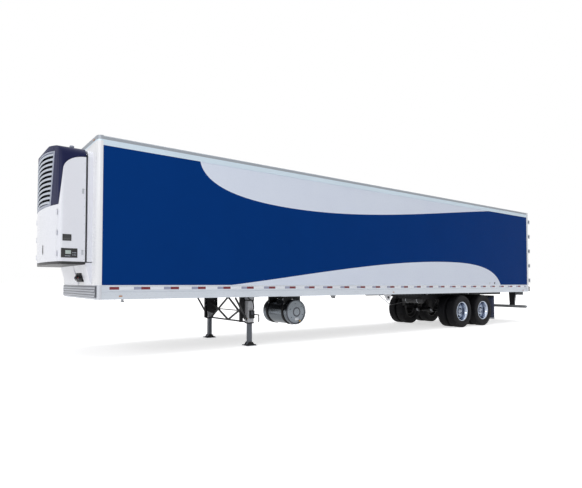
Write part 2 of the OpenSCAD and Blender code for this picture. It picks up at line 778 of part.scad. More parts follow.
// Two tyres side by side, at one end of an axle
module tyre_pair(s, side) color("#202022")
    for (y = [inner_y, outer_y]) translate([nose_x - s, side * y, axle_z]) rotate([90, 0, 0]) {
        shoulder = 45;
        bead_w = tyre_w - 70;
        rotate_extrude() polygon([
            [rim_r, -bead_w / 2], [rim_r + flange_h + 2, -bead_w / 2], [rim_r + 60, -tyre_w / 2], [tyre_r - shoulder - 30, -tyre_w / 2],
            [tyre_r - 14, -tyre_w / 2 + shoulder / 2], [tyre_r, -tyre_w / 2 + shoulder],
            [tyre_r, tyre_w / 2 - shoulder], [tyre_r - 14, tyre_w / 2 - shoulder / 2],
            [tyre_r - shoulder - 30, tyre_w / 2], [rim_r + 60, tyre_w / 2],
            [rim_r + flange_h + 2, bead_w / 2], [rim_r, bead_w / 2]
        ]);
    }

module tyres_front_left() tyre_pair(axle_ss[0], 1);
module tyres_front_right() tyre_pair(axle_ss[0], -1);
module tyres_rear_left() tyre_pair(axle_ss[1], 1);
module tyres_rear_right() tyre_pair(axle_ss[1], -1);

// A ring or shaft turned about the axle from its section
module turned(points) rotate_extrude() polygon(points);

// Rim of one wheel, centred on its tyre
module rim(half) turned([
    [rim_r - 1, -half], [rim_r + flange_h, -half - 8], [rim_r + flange_h, -half - 16],
    [rim_r - 12, -half - 16], [rim_r - 12, -half - 6], [rim_r - 34, -half + 40],
    [rim_r - 34, half - 40], [rim_r - 12, half + 6], [rim_r - 12, half + 16],
    [rim_r + flange_h, half + 16], [rim_r + flange_h, half + 8], [rim_r - 1, half]
]);

// Twin wheels with a shared hub and brake drum, bored for the spindle; +Z is outwards and
// heights start midway between the two tyres
module wheel_pair(s, side) color("gainsboro") {
    rim_half = tyre_w / 2 - 35;
    dish = twin_pitch / 2 - rim_half + 48;
    disc_t = 12;
    bolt_face_r = 172;
    hub_r = 110;
    drum_r = 205;
    drum_t = 18;
    bore_r = spindle_r + hub_fit;
    cap_z = 212;
    hole_ring_r = 208;
    hole_r = 27;
    translate([nose_x - s, side * (inner_y + outer_y) / 2, axle_z])
        rotate([side > 0 ? -90 : 90, 0, 0]) {
            for (z = [-twin_pitch / 2, twin_pitch / 2]) translate([0, 0, z]) rim(rim_half);
            // Discs bolted face to face, each dished out to its own rim, with hand holes
            difference() {
                for (flip = [0, 1]) mirror([0, 0, flip]) turned([
                    [hub_r - 10, 0], [bolt_face_r, 0], [rim_r - 28, dish], [rim_r - 28, dish + 24],
                    [bolt_face_r - 6, disc_t], [hub_r - 10, disc_t]
                ]);
                for (i = [0 : 9]) rotate(i * 36) translate([hole_ring_r, 0, -dish - 24])
                    cylinder(r = hole_r, h = 2 * dish + 48);
            }
            // Hub and cap
            turned([
                [bore_r, -120], [hub_r, -120], [hub_r, 60], [hub_r - 15, 150],
                [hub_r - 30, cap_z], [0, cap_z], [0, cap_z - 14], [bore_r, cap_z - 14]
            ]);
            // Brake drum, inside the inner wheel
            turned([
                [hub_r - 10, -30], [drum_r - 40, -30], [drum_r, -95], [drum_r, -230],
                [drum_r - drum_t, -230], [drum_r - drum_t, -100], [drum_r - 45, -50],
                [hub_r - 10, -50]
            ]);
        }
}

module wheels_front_left() wheel_pair(axle_ss[0], 1);
module wheels_front_right() wheel_pair(axle_ss[0], -1);
module wheels_rear_left() wheel_pair(axle_ss[1], 1);
module wheels_rear_right() wheel_pair(axle_ss[1], -1);

floor_deck();
underframe();
bottom_rails();
side_wall_left();
side_wall_right();
roof_panel();
top_rails();
nose_wall();
nose_header();
nose_sill();
coupler_plate();
kingpin();
rear_frame();
hinge_pins();
door_left();
door_right();
door_hardware_left();
door_hardware_right();
dock_bumpers();
underride_guard();
unit_frame();
unit_engine();
unit_condenser();
unit_sides();
unit_door_left();
unit_door_right();
unit_grille();
unit_cowl();
unit_pan();
unit_skirt();
service_connectors();
fuel_tank();
tank_bracket();
landing_housings();
landing_legs();
landing_braces();
landing_crank();
slide_rails();
bogie_frame();
suspension_arms();
air_springs();
axles();
air_tank();
mud_flaps();
tyres_front_left();
tyres_front_right();
tyres_rear_left();
tyres_rear_right();
wheels_front_left();
wheels_front_right();
wheels_rear_left();
wheels_rear_right();
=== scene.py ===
"""Looks of a refrigerated semi trailer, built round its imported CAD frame.

Every piece is in metres in the frame's own axes: +X forward, +Y left, +Z up. Places along the
trailer are measured back from the nose wall, as they are on the real one.
"""
import logging
import math
from dataclasses import dataclass, field
from enum import Enum
from typing import Callable, Iterable, Sequence

import bmesh
import bpy
from mathutils import Matrix, Vector


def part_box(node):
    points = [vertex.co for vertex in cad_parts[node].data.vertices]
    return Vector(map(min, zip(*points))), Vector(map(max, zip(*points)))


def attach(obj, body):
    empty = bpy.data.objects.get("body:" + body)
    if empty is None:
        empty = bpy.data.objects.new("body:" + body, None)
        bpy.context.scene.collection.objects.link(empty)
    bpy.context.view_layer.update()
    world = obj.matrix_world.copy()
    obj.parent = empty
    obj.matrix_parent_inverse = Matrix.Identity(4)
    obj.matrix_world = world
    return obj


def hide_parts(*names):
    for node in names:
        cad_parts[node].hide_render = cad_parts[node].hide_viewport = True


log = logging.getLogger("trailer")
TRAILER = "trailer"
FILM = 0.0005
Point = Sequence[float]


class Side(Enum):
    """Left or right of the trailer, with the sign of its Y."""

    LEFT = 1
    RIGHT = -1

    @property
    def word(self) -> str:
        """The side's name, as used in node and body names."""
        return self.name.lower()


class Axis(Enum):
    """A row axis, as an index into a vector."""

    X = 0
    Y = 1
    Z = 2

    @property
    def unit(self) -> Vector:
        """The unit vector along the axis."""
        return Vector([1.0 if i == self.value else 0.0 for i in range(3)])


# ---------------------------------------------------------------- colours and shader groups


def linear(red: int, green: int, blue: int) -> tuple[float, float, float, float]:
    """Turns an 8-bit sRGB colour into the linear one that a shader wants.

    Args:
        red: Red, 0 to 255.
        green: Green, 0 to 255.
        blue: Blue, 0 to 255.

    Returns:
        The linear colour with an alpha of 1.
    """
    def channel(value: int) -> float:
        """One channel, from sRGB to linear."""
        c = value / 255
        return c / 12.92 if c <= 0.04045 else ((c + 0.055) / 1.055) ** 2.4

    return channel(red), channel(green), channel(blue), 1.0


class ShaderGroups:
    """Node groups that several finishes share, each built once on first use."""

    _built: dict[str, bpy.types.NodeTree] = {}

    @classmethod
    def get(cls, name: str, build: Callable[[bpy.types.NodeTree], None]) -> bpy.types.NodeTree:
        """Finds a group, or builds it.

        Args:
            name: The group's name.
            build: A function that fills an empty tree.

        Returns:
            The group's node tree.
        """
        if name not in cls._built:
            tree = bpy.data.node_groups.new(name, "ShaderNodeTree")
            build(tree)
            cls._built[name] = tree
        return cls._built[name]

    @staticmethod
    def socket(tree: bpy.types.NodeTree, name: str, way: str, kind: str, value: float = 0.0) -> None:
        """Adds one named socket to a group.

        Args:
            tree: The group.
            name: The socket's name.
            way: INPUT or OUTPUT.
            kind: The socket type.
            value: The default of a float input.
        """
        made = tree.interface.new_socket(name=name, in_out=way, socket_type=kind)
        if kind == "NodeSocketFloat" and way == "INPUT":
            made.default_value = value

    @classmethod
    def grain(cls) -> bpy.types.NodeTree:
        """Fine even grain, such as orange peel in paint or moulded plastic."""
        def build(tree: bpy.types.NodeTree) -> None:
            """Fills the group."""
            cls.socket(tree, "Scale", "INPUT", "NodeSocketFloat", 200.0)
            cls.socket(tree, "Value", "OUTPUT", "NodeSocketFloat")
            n, link = tree.nodes, tree.links.new
            start, end = n.new("NodeGroupInput"), n.new("NodeGroupOutput")
            coord = n.new("ShaderNodeTexCoord")
            noise = n.new("ShaderNodeTexNoise")
            noise.inputs["Detail"].default_value = 3.0
            link(coord.outputs["Object"], noise.inputs["Vector"])
            link(start.outputs["Scale"], noise.inputs["Scale"])
            link(noise.outputs["Fac"], end.inputs["Value"])

        return cls.get("surface_grain", build)

    @classmethod
    def streaks(cls) -> bpy.types.NodeTree:
        """Long fine streaks, as rolling or brushing leaves on metal."""
        def build(tree: bpy.types.NodeTree) -> None:
            """Fills the group."""
            cls.socket(tree, "Stretch", "INPUT", "NodeSocketVector")
            cls.socket(tree, "Value", "OUTPUT", "NodeSocketFloat")
            n, link = tree.nodes, tree.links.new
            start, end = n.new("NodeGroupInput"), n.new("NodeGroupOutput")
            coord = n.new("ShaderNodeTexCoord")
            scale = n.new("ShaderNodeVectorMath")
            scale.operation = "MULTIPLY"
            noise = n.new("ShaderNodeTexNoise")
            noise.inputs["Scale"].default_value = 1.0
            noise.inputs["Detail"].default_value = 4.0
            link(coord.outputs["Object"], scale.inputs[0])
            link(start.outputs["Stretch"], scale.inputs[1])
            link(scale.outputs["Vector"], noise.inputs["Vector"])
            link(noise.outputs["Fac"], end.inputs["Value"])

        return cls.get("metal_streaks", build)

    @classmethod
    def road_film(cls) -> bpy.types.NodeTree:
        """Thin road dust: a mask that is strongest low down and breaks up with noise."""
        def build(tree: bpy.types.NodeTree) -> None:
            """Fills the group."""
            cls.socket(tree, "Clean Height", "INPUT", "NodeSocketFloat", 1.4)
            cls.socket(tree, "Strength", "INPUT", "NodeSocketFloat", 0.3)
            cls.socket(tree, "Mask", "OUTPUT", "NodeSocketFloat")
            n, link = tree.nodes, tree.links.new
            start, end = n.new("NodeGroupInput"), n.new("NodeGroupOutput")
            coord = n.new("ShaderNodeTexCoord")
            split = n.new("ShaderNodeSeparateXYZ")
            fade = n.new("ShaderNodeMapRange")
            fade.inputs["To Min"].default_value = 1.0
            fade.inputs["To Max"].default_value = 0.15
            noise = n.new("ShaderNodeTexNoise")
            noise.inputs["Scale"].default_value = 3.5
            noise.inputs["Detail"].default_value = 6.0
            blotch = n.new("ShaderNodeMath")
            blotch.operation = "MULTIPLY"
            total = n.new("ShaderNodeMath")
            total.operation = "MULTIPLY"
            link(coord.outputs["Object"], split.inputs["Vector"])
            link(coord.outputs["Object"], noise.inputs["Vector"])
            link(split.outputs["Z"], fade.inputs["Value"])
            link(start.outputs["Clean Height"], fade.inputs["From Max"])
            link(fade.outputs["Result"], blotch.inputs[0])
            link(noise.outputs["Fac"], blotch.inputs[1])
            link(blotch.outputs["Value"], total.inputs[0])
            link(start.outputs["Strength"], total.inputs[1])
            link(total.outputs["Value"], end.inputs["Mask"])

        return cls.get("road_film", build)


DUST = linear(150, 142, 130)


@dataclass(frozen=True)
class Finish:
    """One surface finish: a Principled shader with grain, streaks and road dust.

    Attributes:
        name: The material's name.
        colour: Base colour as 8-bit sRGB.
        roughness: Middle roughness.
        metallic: Metallic value.
        specular: Specular level of a non-metal.
        coat: Weight of a clear coat.
        grain: Scale of the fine grain, per metre.
        bump: Height of the grain in the bump, in metres.
        vary: How much the grain changes the roughness.
        tint: How much slow blotches change the colour.
        streak: Stretch of long streaks; None for no streaks.
        dust: Strength of the road dust.
        clean_z: Height above which the dust thins out.
        emission: Strength of a lamp's own light.
        cap: Height above which the colour changes, and the colour there.
    """

    name: str
    colour: tuple[int, int, int]
    roughness: float = 0.4
    metallic: float = 0.0
    specular: float = 0.5
    coat: float = 0.0
    grain: float = 180.0
    bump: float = 0.0001
    vary: float = 0.12
    tint: float = 0.06
    streak: tuple[float, float, float] | None = None
    dust: float = 0.0
    clean_z: float = 1.4
    emission: float = 0.0
    cap: tuple[float, tuple[int, int, int]] | None = None

    def material(self) -> bpy.types.Material:
        """Finds or builds the material.

        Returns:
            The finished Blender material.
        """
        found = bpy.data.materials.get(f"{self.name}_finish")
        return found if found else self._build()

    def _group(self, mat: bpy.types.Material, tree: bpy.types.NodeTree) -> bpy.types.Node:
        """Places a shared group in the material."""
        node = mat.node_tree.nodes.new("ShaderNodeGroup")
        node.node_tree = tree
        return node

    def _build(self) -> bpy.types.Material:
        """Builds the node tree."""
        mat = bpy.data.materials.new(f"{self.name}_finish")
        mat.use_nodes = True
        nodes, link = mat.node_tree.nodes, mat.node_tree.links.new
        shader = nodes["Principled BSDF"]
        base = linear(*self.colour)
        shader.inputs["Metallic"].default_value = self.metallic
        shader.inputs["Specular IOR Level"].default_value = self.specular
        shader.inputs["Coat Weight"].default_value = self.coat
        shader.inputs["Coat Roughness"].default_value = 0.08
        if self.emission:
            shader.inputs["Emission Color"].default_value = base
            shader.inputs["Emission Strength"].default_value = self.emission

        grain = self._group(mat, ShaderGroups.grain())
        grain.inputs["Scale"].default_value = self.grain
        value = grain.outputs["Value"]
        if self.streak:
            streaks = self._group(mat, ShaderGroups.streaks())
            streaks.inputs["Stretch"].default_value = self.streak
            value = streaks.outputs["Value"]

        rough = nodes.new("ShaderNodeMapRange")
        rough.inputs["From Min"].default_value = 0.3
        rough.inputs["From Max"].default_value = 0.7
        rough.inputs["To Min"].default_value = max(0.02, self.roughness - self.vary)
        rough.inputs["To Max"].default_value = min(1.0, self.roughness + self.vary)
        link(value, rough.inputs["Value"])
        link(rough.outputs["Result"], shader.inputs["Roughness"])

        bump = nodes.new("ShaderNodeBump")
        bump.inputs["Strength"].default_value = 0.6
        bump.inputs["Distance"].default_value = self.bump
        link(value, bump.inputs["Height"])
        link(bump.outputs["Normal"], shader.inputs["Normal"])

        blotch = self._group(mat, ShaderGroups.grain())
        blotch.inputs["Scale"].default_value = 1.3
        shade = nodes.new("ShaderNodeMix")
        shade.data_type = "RGBA"
        shade.inputs["A"].default_value = [c * (1 - self.tint) for c in base[:3]] + [1.0]
        shade.inputs["B"].default_value = [min(1.0, c * (1 + self.tint)) for c in base[:3]] + [1.0]
        link(blotch.outputs["Value"], shade.inputs["Factor"])
        colour = shade.outputs["Result"]
        if self.cap:
            coord, split = nodes.new("ShaderNodeTexCoord"), nodes.new("ShaderNodeSeparateXYZ")
            above = nodes.new("ShaderNodeMapRange")
            above.inputs["From Min"].default_value = self.cap[0] - 0.003
            above.inputs["From Max"].default_value = self.cap[0] + 0.003
            capped = nodes.new("ShaderNodeMix")
            capped.data_type = "RGBA"
            capped.inputs["B"].default_value = linear(*self.cap[1])
            link(coord.outputs["Object"], split.inputs["Vector"])
            link(split.outputs["Z"], above.inputs["Value"])
            link(above.outputs["Result"], capped.inputs["Factor"])
            link(colour, capped.inputs["A"])
            colour = capped.outputs["Result"]
        if self.dust:
            film = self._group(mat, ShaderGroups.road_film())
            film.inputs["Clean Height"].default_value = self.clean_z
            film.inputs["Strength"].default_value = self.dust
            dusty = nodes.new("ShaderNodeMix")
            dusty.data_type = "RGBA"
            dusty.inputs["B"].default_value = DUST
            link(film.outputs["Mask"], dusty.inputs["Factor"])
            link(colour, dusty.inputs["A"])
            colour = dusty.outputs["Result"]
        link(colour, shader.inputs["Base Color"])
        return mat


class Finishes:
    """Every finish on the trailer."""

    BLUE = Finish("deep_blue_film", (6, 56, 126), 0.5, specular=0.02, grain=60, bump=0.00006, tint=0.05)
    SWOOSH = Finish("pale_film", (230, 238, 255), 0.35, specular=0.3, grain=60, bump=0.00006, tint=0.03)
    WHITE = Finish("white_skin", (238, 239, 242), 0.3, coat=0.2, grain=90, bump=0.00006, tint=0.02)
    ROOF = Finish("roof_skin", (226, 228, 230), 0.45, grain=40, dust=0.1, clean_z=20.0)
    RAIL = Finish("rail_aluminium", (196, 202, 210), 0.42, 0.75, streak=(2.0, 160.0, 160.0), bump=0.00005)
    RAIL_TOP = Finish("top_rail_aluminium", (212, 228, 240), 0.45, 0.3, cap=(4.035, (158, 164, 172)), streak=(2.0, 160.0, 160.0), bump=0.00005)
    SILL = Finish("sill_aluminium", (190, 193, 200), 0.4, 0.7, streak=(60.0, 3.0, 160.0), bump=0.00006)
    FLOOR = Finish("floor_aluminium", (168, 172, 176), 0.45, 0.9, streak=(3.0, 200.0, 60.0))
    CHASSIS = Finish("chassis_paint", (30, 32, 37), 0.55, grain=120, bump=0.0003, dust=0.1, clean_z=1.5)
    DARK = Finish("running_gear_paint", (18, 19, 23), 0.6, specular=0.3, grain=140, bump=0.0003, dust=0.06)
    STEEL = Finish("machined_steel", (150, 152, 156), 0.3, 0.95, streak=(120.0, 120.0, 4.0), bump=0.00004)
    ZINC = Finish("zinc_plate", (178, 182, 188), 0.38, 0.8, grain=260, bump=0.00008, dust=0.1)
    STAINLESS = Finish("stainless_frame", (198, 201, 206), 0.28, 0.85, streak=(160.0, 160.0, 3.0), bump=0.00003)
    POLISHED = Finish("polished_aluminium", (172, 180, 194), 0.14, 1.0, grain=30, bump=0.00002, vary=0.06)
    GREY = Finish("grey_leg_paint", (150, 154, 158), 0.5, grain=160, bump=0.0002, dust=0.25, clean_z=1.3)
    RUBBER = Finish("black_rubber", (24, 24, 26), 0.75, grain=220, bump=0.0003, vary=0.1, dust=0.12, clean_z=1.0)
    TYRE = Finish("tyre_rubber", (11, 12, 17), 0.72, specular=0.2, grain=160, bump=0.0004, dust=0.05, clean_z=0.5)
    FLAP = Finish("mud_flap_rubber", (72, 80, 108), 0.6, grain=180, bump=0.0003, dust=0.25, clean_z=0.9)
    UNIT_WHITE = Finish("unit_white", (236, 238, 246), 0.3, coat=0.15, grain=100, bump=0.00006, tint=0.015)
    NAVY = Finish("unit_navy", (22, 27, 66), 0.45, specular=0.16, grain=100, bump=0.00006)
    GRILLE = Finish("grille_black", (24, 26, 34), 0.5, grain=200, bump=0.0001)
    SLAT = Finish("louvre_grey", (188, 196, 208), 0.4, grain=160, bump=0.0001)
    BLACK = Finish("black_plastic", (22, 22, 25), 0.45, grain=240, bump=0.0001)
    SCREEN = Finish("grey_screen", (176, 190, 186), 0.2, coat=0.5, grain=20, bump=0.00001, tint=0.02)
    CORE = Finish("fin_core", (60, 62, 66), 0.5, 0.6, streak=(4.0, 4.0, 500.0), bump=0.0006)
    RED = Finish("red_tape", (118, 22, 38), 0.35, grain=420, bump=0.0001, tint=0.04)
    PALE_TAPE = Finish("silver_tape", (242, 245, 252), 0.35, grain=420, bump=0.0001, tint=0.03)
    RED_LENS = Finish("red_lens", (168, 18, 20), 0.15, coat=0.6, grain=320, bump=0.0003)
    AMBER_LENS = Finish("amber_lens", (188, 134, 92), 0.15, coat=0.6, grain=320, bump=0.0003)
    CLEAR_LENS = Finish("clear_lens", (220, 222, 226), 0.12, coat=0.6, grain=320, bump=0.0003)
    # Black of the door seals; the same black is painted shade in the unit's neck gap.
    SEAL = Finish("door_seal", (38, 38, 42), 0.7, grain=200, bump=0.0002)
    HOSE_BLUE = Finish("blue_fitting", (30, 60, 130), 0.5, grain=200)
    HOSE_RED = Finish("red_fitting", (150, 24, 24), 0.5, grain=200)
    BRASS = Finish("brass_fitting", (176, 140, 70), 0.35, 0.9, grain=200)
    RIM = Finish("grille_rim", (150, 156, 174), 0.4, grain=160, bump=0.0001)
    SMOKED = Finish("smoked_glass", (16, 18, 26), 0.12, coat=0.6, grain=20, bump=0.00001)
    # A real ribbed plate, made darker grey than the sill as painted shade on the sill's front face.
    PLATE = Finish("ribbed_plate", (118, 120, 128), 0.45, 0.4, streak=(60.0, 3.0, 160.0), bump=0.00006)
    PALE_LEG = Finish("pale_leg_paint", (200, 202, 206), 0.5, grain=160, bump=0.0002, dust=0.12, clean_z=1.3)
    STEEL_DARK = Finish("dark_steel", (70, 72, 78), 0.45, 0.7, grain=200, bump=0.0001)
    LINING = Finish("glass_fibre_lining", (228, 230, 228), 0.35, grain=300, bump=0.0002)
    FLAP_RIB = Finish("mud_flap_rib", (96, 104, 132), 0.55, grain=180, bump=0.0002, dust=0.2, clean_z=0.9)
    PLATE_STEEL = Finish("greased_steel", (58, 58, 62), 0.35, 0.8, grain=90, bump=0.0001, tint=0.2)
    WHEEL_DARK = Finish("inner_wheel_steel", (66, 68, 72), 0.5, 0.4, grain=200, bump=0.0001, dust=0.3, clean_z=1.0)
    HUB = Finish("hub_cap_metal", (136, 142, 154), 0.2, 0.95, grain=60, bump=0.00003, vary=0.06)
    NUT = Finish("wheel_nut_metal", (104, 108, 118), 0.28, 0.95, grain=200, bump=0.00004)
    TANK = Finish("tank_aluminium", (118, 124, 130), 0.2, 1.0, streak=(90.0, 3.0, 90.0), bump=0.00003, vary=0.08)
    LEG = Finish("leg_steel", (92, 97, 106), 0.5, 0.3, grain=160, bump=0.0002, dust=0.08, clean_z=1.0)
    HINGE = Finish("hinge_paint", (212, 214, 220), 0.4, 0.2, grain=200, bump=0.0001)
    LILAC = Finish("dull_tape", (160, 162, 186), 0.4, grain=420, bump=0.0001, tint=0.03)


# ---------------------------------------------------------------- mesh tools


class Shape:
    """A mesh under construction, made of simple closed parts."""

    def __init__(self) -> None:
        """Starts an empty mesh."""
        self.bm = bmesh.new()

    def box(self, low: Point, high: Point, round_by: float = 0.0) -> "Shape":
        """Adds a block, with chamfered edges where round_by is more than 0.

        Args:
            low: Lowest corner.
            high: Highest corner.
            round_by: Width of the chamfer.

        Returns:
            The shape itself.
        """
        lo, hi = Vector(low), Vector(high)
        size = hi - lo
        made = bmesh.ops.create_cube(
            self.bm, size=1.0,
            matrix=Matrix.Translation((lo + hi) / 2) @ Matrix.Diagonal((*size, 1.0)))
        width = min(round_by, 0.45 * min(size))
        if width > 0:
            edges = list({e for v in made["verts"] for e in v.link_edges})
            bmesh.ops.bevel(self.bm, geom=edges, offset=width, segments=2, profile=0.5,
                            affect="EDGES")
        return self

    def rod(self, start: Point, end: Point, radius: float, sides: int = 20,
            end_radius: float | None = None) -> "Shape":
        """Adds a closed cylinder or cone between two points.

        Args:
            start: Centre of the first end.
            end: Centre of the other end.
            radius: Radius at the start.
            sides: Number of sides.
            end_radius: Radius at the end, the same as at the start if left out.

        Returns:
            The shape itself.
        """
        a, b = Vector(start), Vector(end)
        turn = Vector((0, 0, 1)).rotation_difference(b - a).to_matrix().to_4x4()
        bmesh.ops.create_cone(
            self.bm, cap_ends=True, segments=sides, radius1=radius,
            radius2=radius if end_radius is None else end_radius, depth=(b - a).length,
            matrix=Matrix.Translation((a + b) / 2) @ turn)
        return self

    def lathe(self, centre: Point, axis: Vector, profile: Sequence[tuple[float, float]],
              sides: int = 64) -> "Shape":
        """Turns a closed section about an axis.

        Args:
            centre: A point on the axis.
            axis: Direction that the section's heights run in.
            profile: Points of the section, as radius and height.
            sides: Number of steps round the axis.

        Returns:
            The shape itself.
        """
        turn = Vector((0, 0, 1)).rotation_difference(axis).to_matrix().to_4x4()
        place = Matrix.Translation(Vector(centre)) @ turn
        rings = []
        for r, h in profile:
            if r < 1e-6:
                rings.append([self.bm.verts.new(place @ Vector((0, 0, h)))] * sides)
                continue
            rings.append([
                self.bm.verts.new(place @ Vector((
                    r * math.cos(2 * math.pi * k / sides), r * math.sin(2 * math.pi * k / sides), h)))
                for k in range(sides)])
        for i, ring in enumerate(rings):
            following = rings[(i + 1) % len(rings)]
            for k in range(sides):
                corners = [ring[k], ring[(k + 1) % sides], following[(k + 1) % sides], following[k]]
                unique = list(dict.fromkeys(corners))
                if len(unique) > 2:
                    self.bm.faces.new(unique)
        return self

    def prism(self, outline: Sequence[tuple[float, float]], axis: Axis, low: float,
              high: float) -> "Shape":
        """Pushes a flat outline along an axis.

        Args:
            outline: Points on the two other axes, in X, Y, Z order.
            axis: The axis to push along.
            low: Where the prism starts.
            high: Where it ends.

        Returns:
            The shape itself.
        """
        def corner(pair: tuple[float, float], depth: float) -> Vector:
            """Places one outline point at a depth."""
            values = list(pair)
            values.insert(axis.value, depth)
            return Vector(values)

        near = [self.bm.verts.new(corner(p, low)) for p in outline]
        far = [self.bm.verts.new(corner(p, high)) for p in outline]
        self.bm.faces.new(near)
        self.bm.faces.new(list(reversed(far)))
        for i in range(len(outline)):
            j = (i + 1) % len(outline)
            self.bm.faces.new((near[i], far[i], far[j], near[j]))
        return self

    def tube(self, path: Sequence[Point], radius: float, sides: int = 10) -> "Shape":
        """Sweeps a round tube along points, rounding nothing that the points don't.

        Args:
            path: The points that the tube follows.
            radius: The tube's radius.
            sides: Number of sides.

        Returns:
            The shape itself.
        """
        points = [Vector(p) for p in path]
        rings = []
        normal = None
        for i, p in enumerate(points):
            ahead = points[min(i + 1, len(points) - 1)] - points[max(i - 1, 0)]
            tangent = ahead.normalized()
            if normal is None:
                normal = tangent.orthogonal().normalized()
            normal = (normal - tangent * normal.dot(tangent)).normalized()
            cross = tangent.cross(normal)
            rings.append([
                self.bm.verts.new(p + radius * (normal * math.cos(2 * math.pi * k / sides)
                                                + cross * math.sin(2 * math.pi * k / sides)))
                for k in range(sides)])
        for a, b in zip(rings, rings[1:]):
            for k in range(sides):
                self.bm.faces.new((a[k], a[(k + 1) % sides], b[(k + 1) % sides], b[k]))
        self.bm.faces.new(list(reversed(rings[0])))
        self.bm.faces.new(rings[-1])
        return self

    def loft(self, rings: Sequence[Sequence[Point]]) -> "Shape":
        """Joins a row of closed sections, each with the same number of points.

        Args:
            rings: The sections in order.

        Returns:
            The shape itself.
        """
        made = [[self.bm.verts.new(Vector(p)) for p in ring] for ring in rings]
        for a, b in zip(made, made[1:]):
            for k in range(len(a)):
                j = (k + 1) % len(a)
                self.bm.faces.new((a[k], a[j], b[j], b[k]))
        self.bm.faces.new(list(reversed(made[0])))
        self.bm.faces.new(made[-1])
        return self

    def holed_cone(self, centre: Point, axis: Vector, dish: Sequence[tuple[float, float]], thick: float,
                   holes: int, hole_r: float) -> "Shape":
        """Adds the sloping ring of a wheel disc, with a row of round holes through it.

        Args:
            centre: A point on the axis.
            axis: Direction that heights run in.
            dish: Inner and outer edge, as radius and height.
            thick: Thickness of the ring along the axis.
            holes: Number of holes.
            hole_r: Radius of a hole.

        Returns:
            The shape itself.
        """
        (r0, h0), (r1, h1) = dish
        turn = Vector((0, 0, 1)).rotation_difference(axis).to_matrix().to_4x4()
        place = Matrix.Translation(Vector(centre)) @ turn
        reach_x = hole_r / ((r0 + r1) / 2 * math.pi / holes)
        reach_y = 2 * hole_r / math.hypot(r1 - r0, h1 - h0)
        steps = 32
        made = []

        def vert(x: float, y: float, sector: int, drop: float) -> bmesh.types.BMVert:
            """Places a point of one sector, with x and y from -1 to 1 across it."""
            share = 0.5 + y / 2
            r, a = r0 + (r1 - r0) * share, (2 * sector + 1 + x) * math.pi / holes
            point = Vector((r * math.cos(a), r * math.sin(a), h0 + (h1 - h0) * share - drop))
            made.append(self.bm.verts.new(place @ point))
            return made[-1]

        for sector in range(holes):
            loops = []
            for drop in (0.0, thick):
                rim, edge = [], []
                for k in range(steps):
                    c, s = math.cos(2 * math.pi * k / steps), math.sin(2 * math.pi * k / steps)
                    far = max(abs(c), abs(s))
                    rim.append(vert(reach_x * c, reach_y * s, sector, drop))
                    edge.append(vert(c / far, s / far, sector, drop))
                loops.append((rim, edge))
            (rim_f, edge_f), (rim_b, edge_b) = loops
            for k in range(steps):
                j = (k + 1) % steps
                for rim, edge in loops:
                    self.bm.faces.new((rim[k], rim[j], edge[j], edge[k]))
                self.bm.faces.new((rim_f[k], rim_b[k], rim_b[j], rim_f[j]))
                if k % (steps // 2) in range(steps // 8, 3 * steps // 8):
                    self.bm.faces.new((edge_f[k], edge_f[j], edge_b[j], edge_b[k]))
        bmesh.ops.remove_doubles(self.bm, verts=made, dist=0.00001)
        return self

    def mirrored(self) -> "Shape":
        """Adds the same mesh on the other side of the centre line."""
        copy = bmesh.ops.duplicate(self.bm, geom=self.bm.verts[:] + self.bm.edges[:] + self.bm.faces[:])
        verts = [g for g in copy["geom"] if isinstance(g, bmesh.types.BMVert)]
        for v in verts:
            v.co.y = -v.co.y
        return self

    def object(self, name: str, finish: Finish, smooth: float = 35.0) -> bpy.types.Object:
        """Closes the mesh and makes an object of it, at the origin.

        Args:
            name: The object's name.
            finish: The finish on the whole of it.
            smooth: Angle in degrees below which edges shade smooth.

        Returns:
            The new object, linked to the scene.
        """
        bmesh.ops.recalc_face_normals(self.bm, faces=self.bm.faces[:])
        mesh = bpy.data.meshes.new(name)
        self.bm.to_mesh(mesh)
        self.bm.free()
        mesh.materials.append(finish.material())
        made = bpy.data.objects.new(name, mesh)
        bpy.context.scene.collection.objects.link(made)
        if mesh.polygons and smooth > 0:
            mesh.polygons.foreach_set("use_smooth", [True] * len(mesh.polygons))
            mesh.set_sharp_from_angle(angle=math.radians(smooth))
        return made


def install(piece: bpy.types.Object, body: str, slot: str, *nodes: str) -> bpy.types.Object:
    """Makes a piece ride on a body and stand for CAD nodes, and reports it.

    Args:
        piece: The finished object.
        body: The CAD body it moves with.
        slot: Not used.
        nodes: CAD nodes that it stands for.

    Returns:
        The same object.
    """
    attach(piece, body)
    if nodes:
        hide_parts(*nodes)
    log.info("%s: %d faces on %s", piece.name, len(piece.data.polygons), body)
    return piece


def place_along(s: float) -> float:
    """Turns a distance behind the nose wall into the frame's X."""
    return NOSE_X - s


def curve_points(parts: Iterable[Sequence[tuple[float, float]]], steps: int = 24) -> list[tuple[float, float]]:
    """Points along joined cubic curves.

    Args:
        parts: Each curve's start, two handles and end.
        steps: Points per curve.

    Returns:
        The points in order, without repeats where curves join.
    """
    found: list[tuple[float, float]] = []
    for a, b, c, d in parts:
        for k in range(steps + 1):
            t = k / steps
            u = 1 - t
            weights = (u ** 3, 3 * u * u * t, 3 * u * t * t, t ** 3)
            found.append(tuple(sum(w * p[i] for w, p in zip(weights, (a, b, c, d))) for i in (0, 1)))
    return [p for i, p in enumerate(found) if i == 0 or p != found[i - 1]]


# ---------------------------------------------------------------- repeats by Geometry Nodes


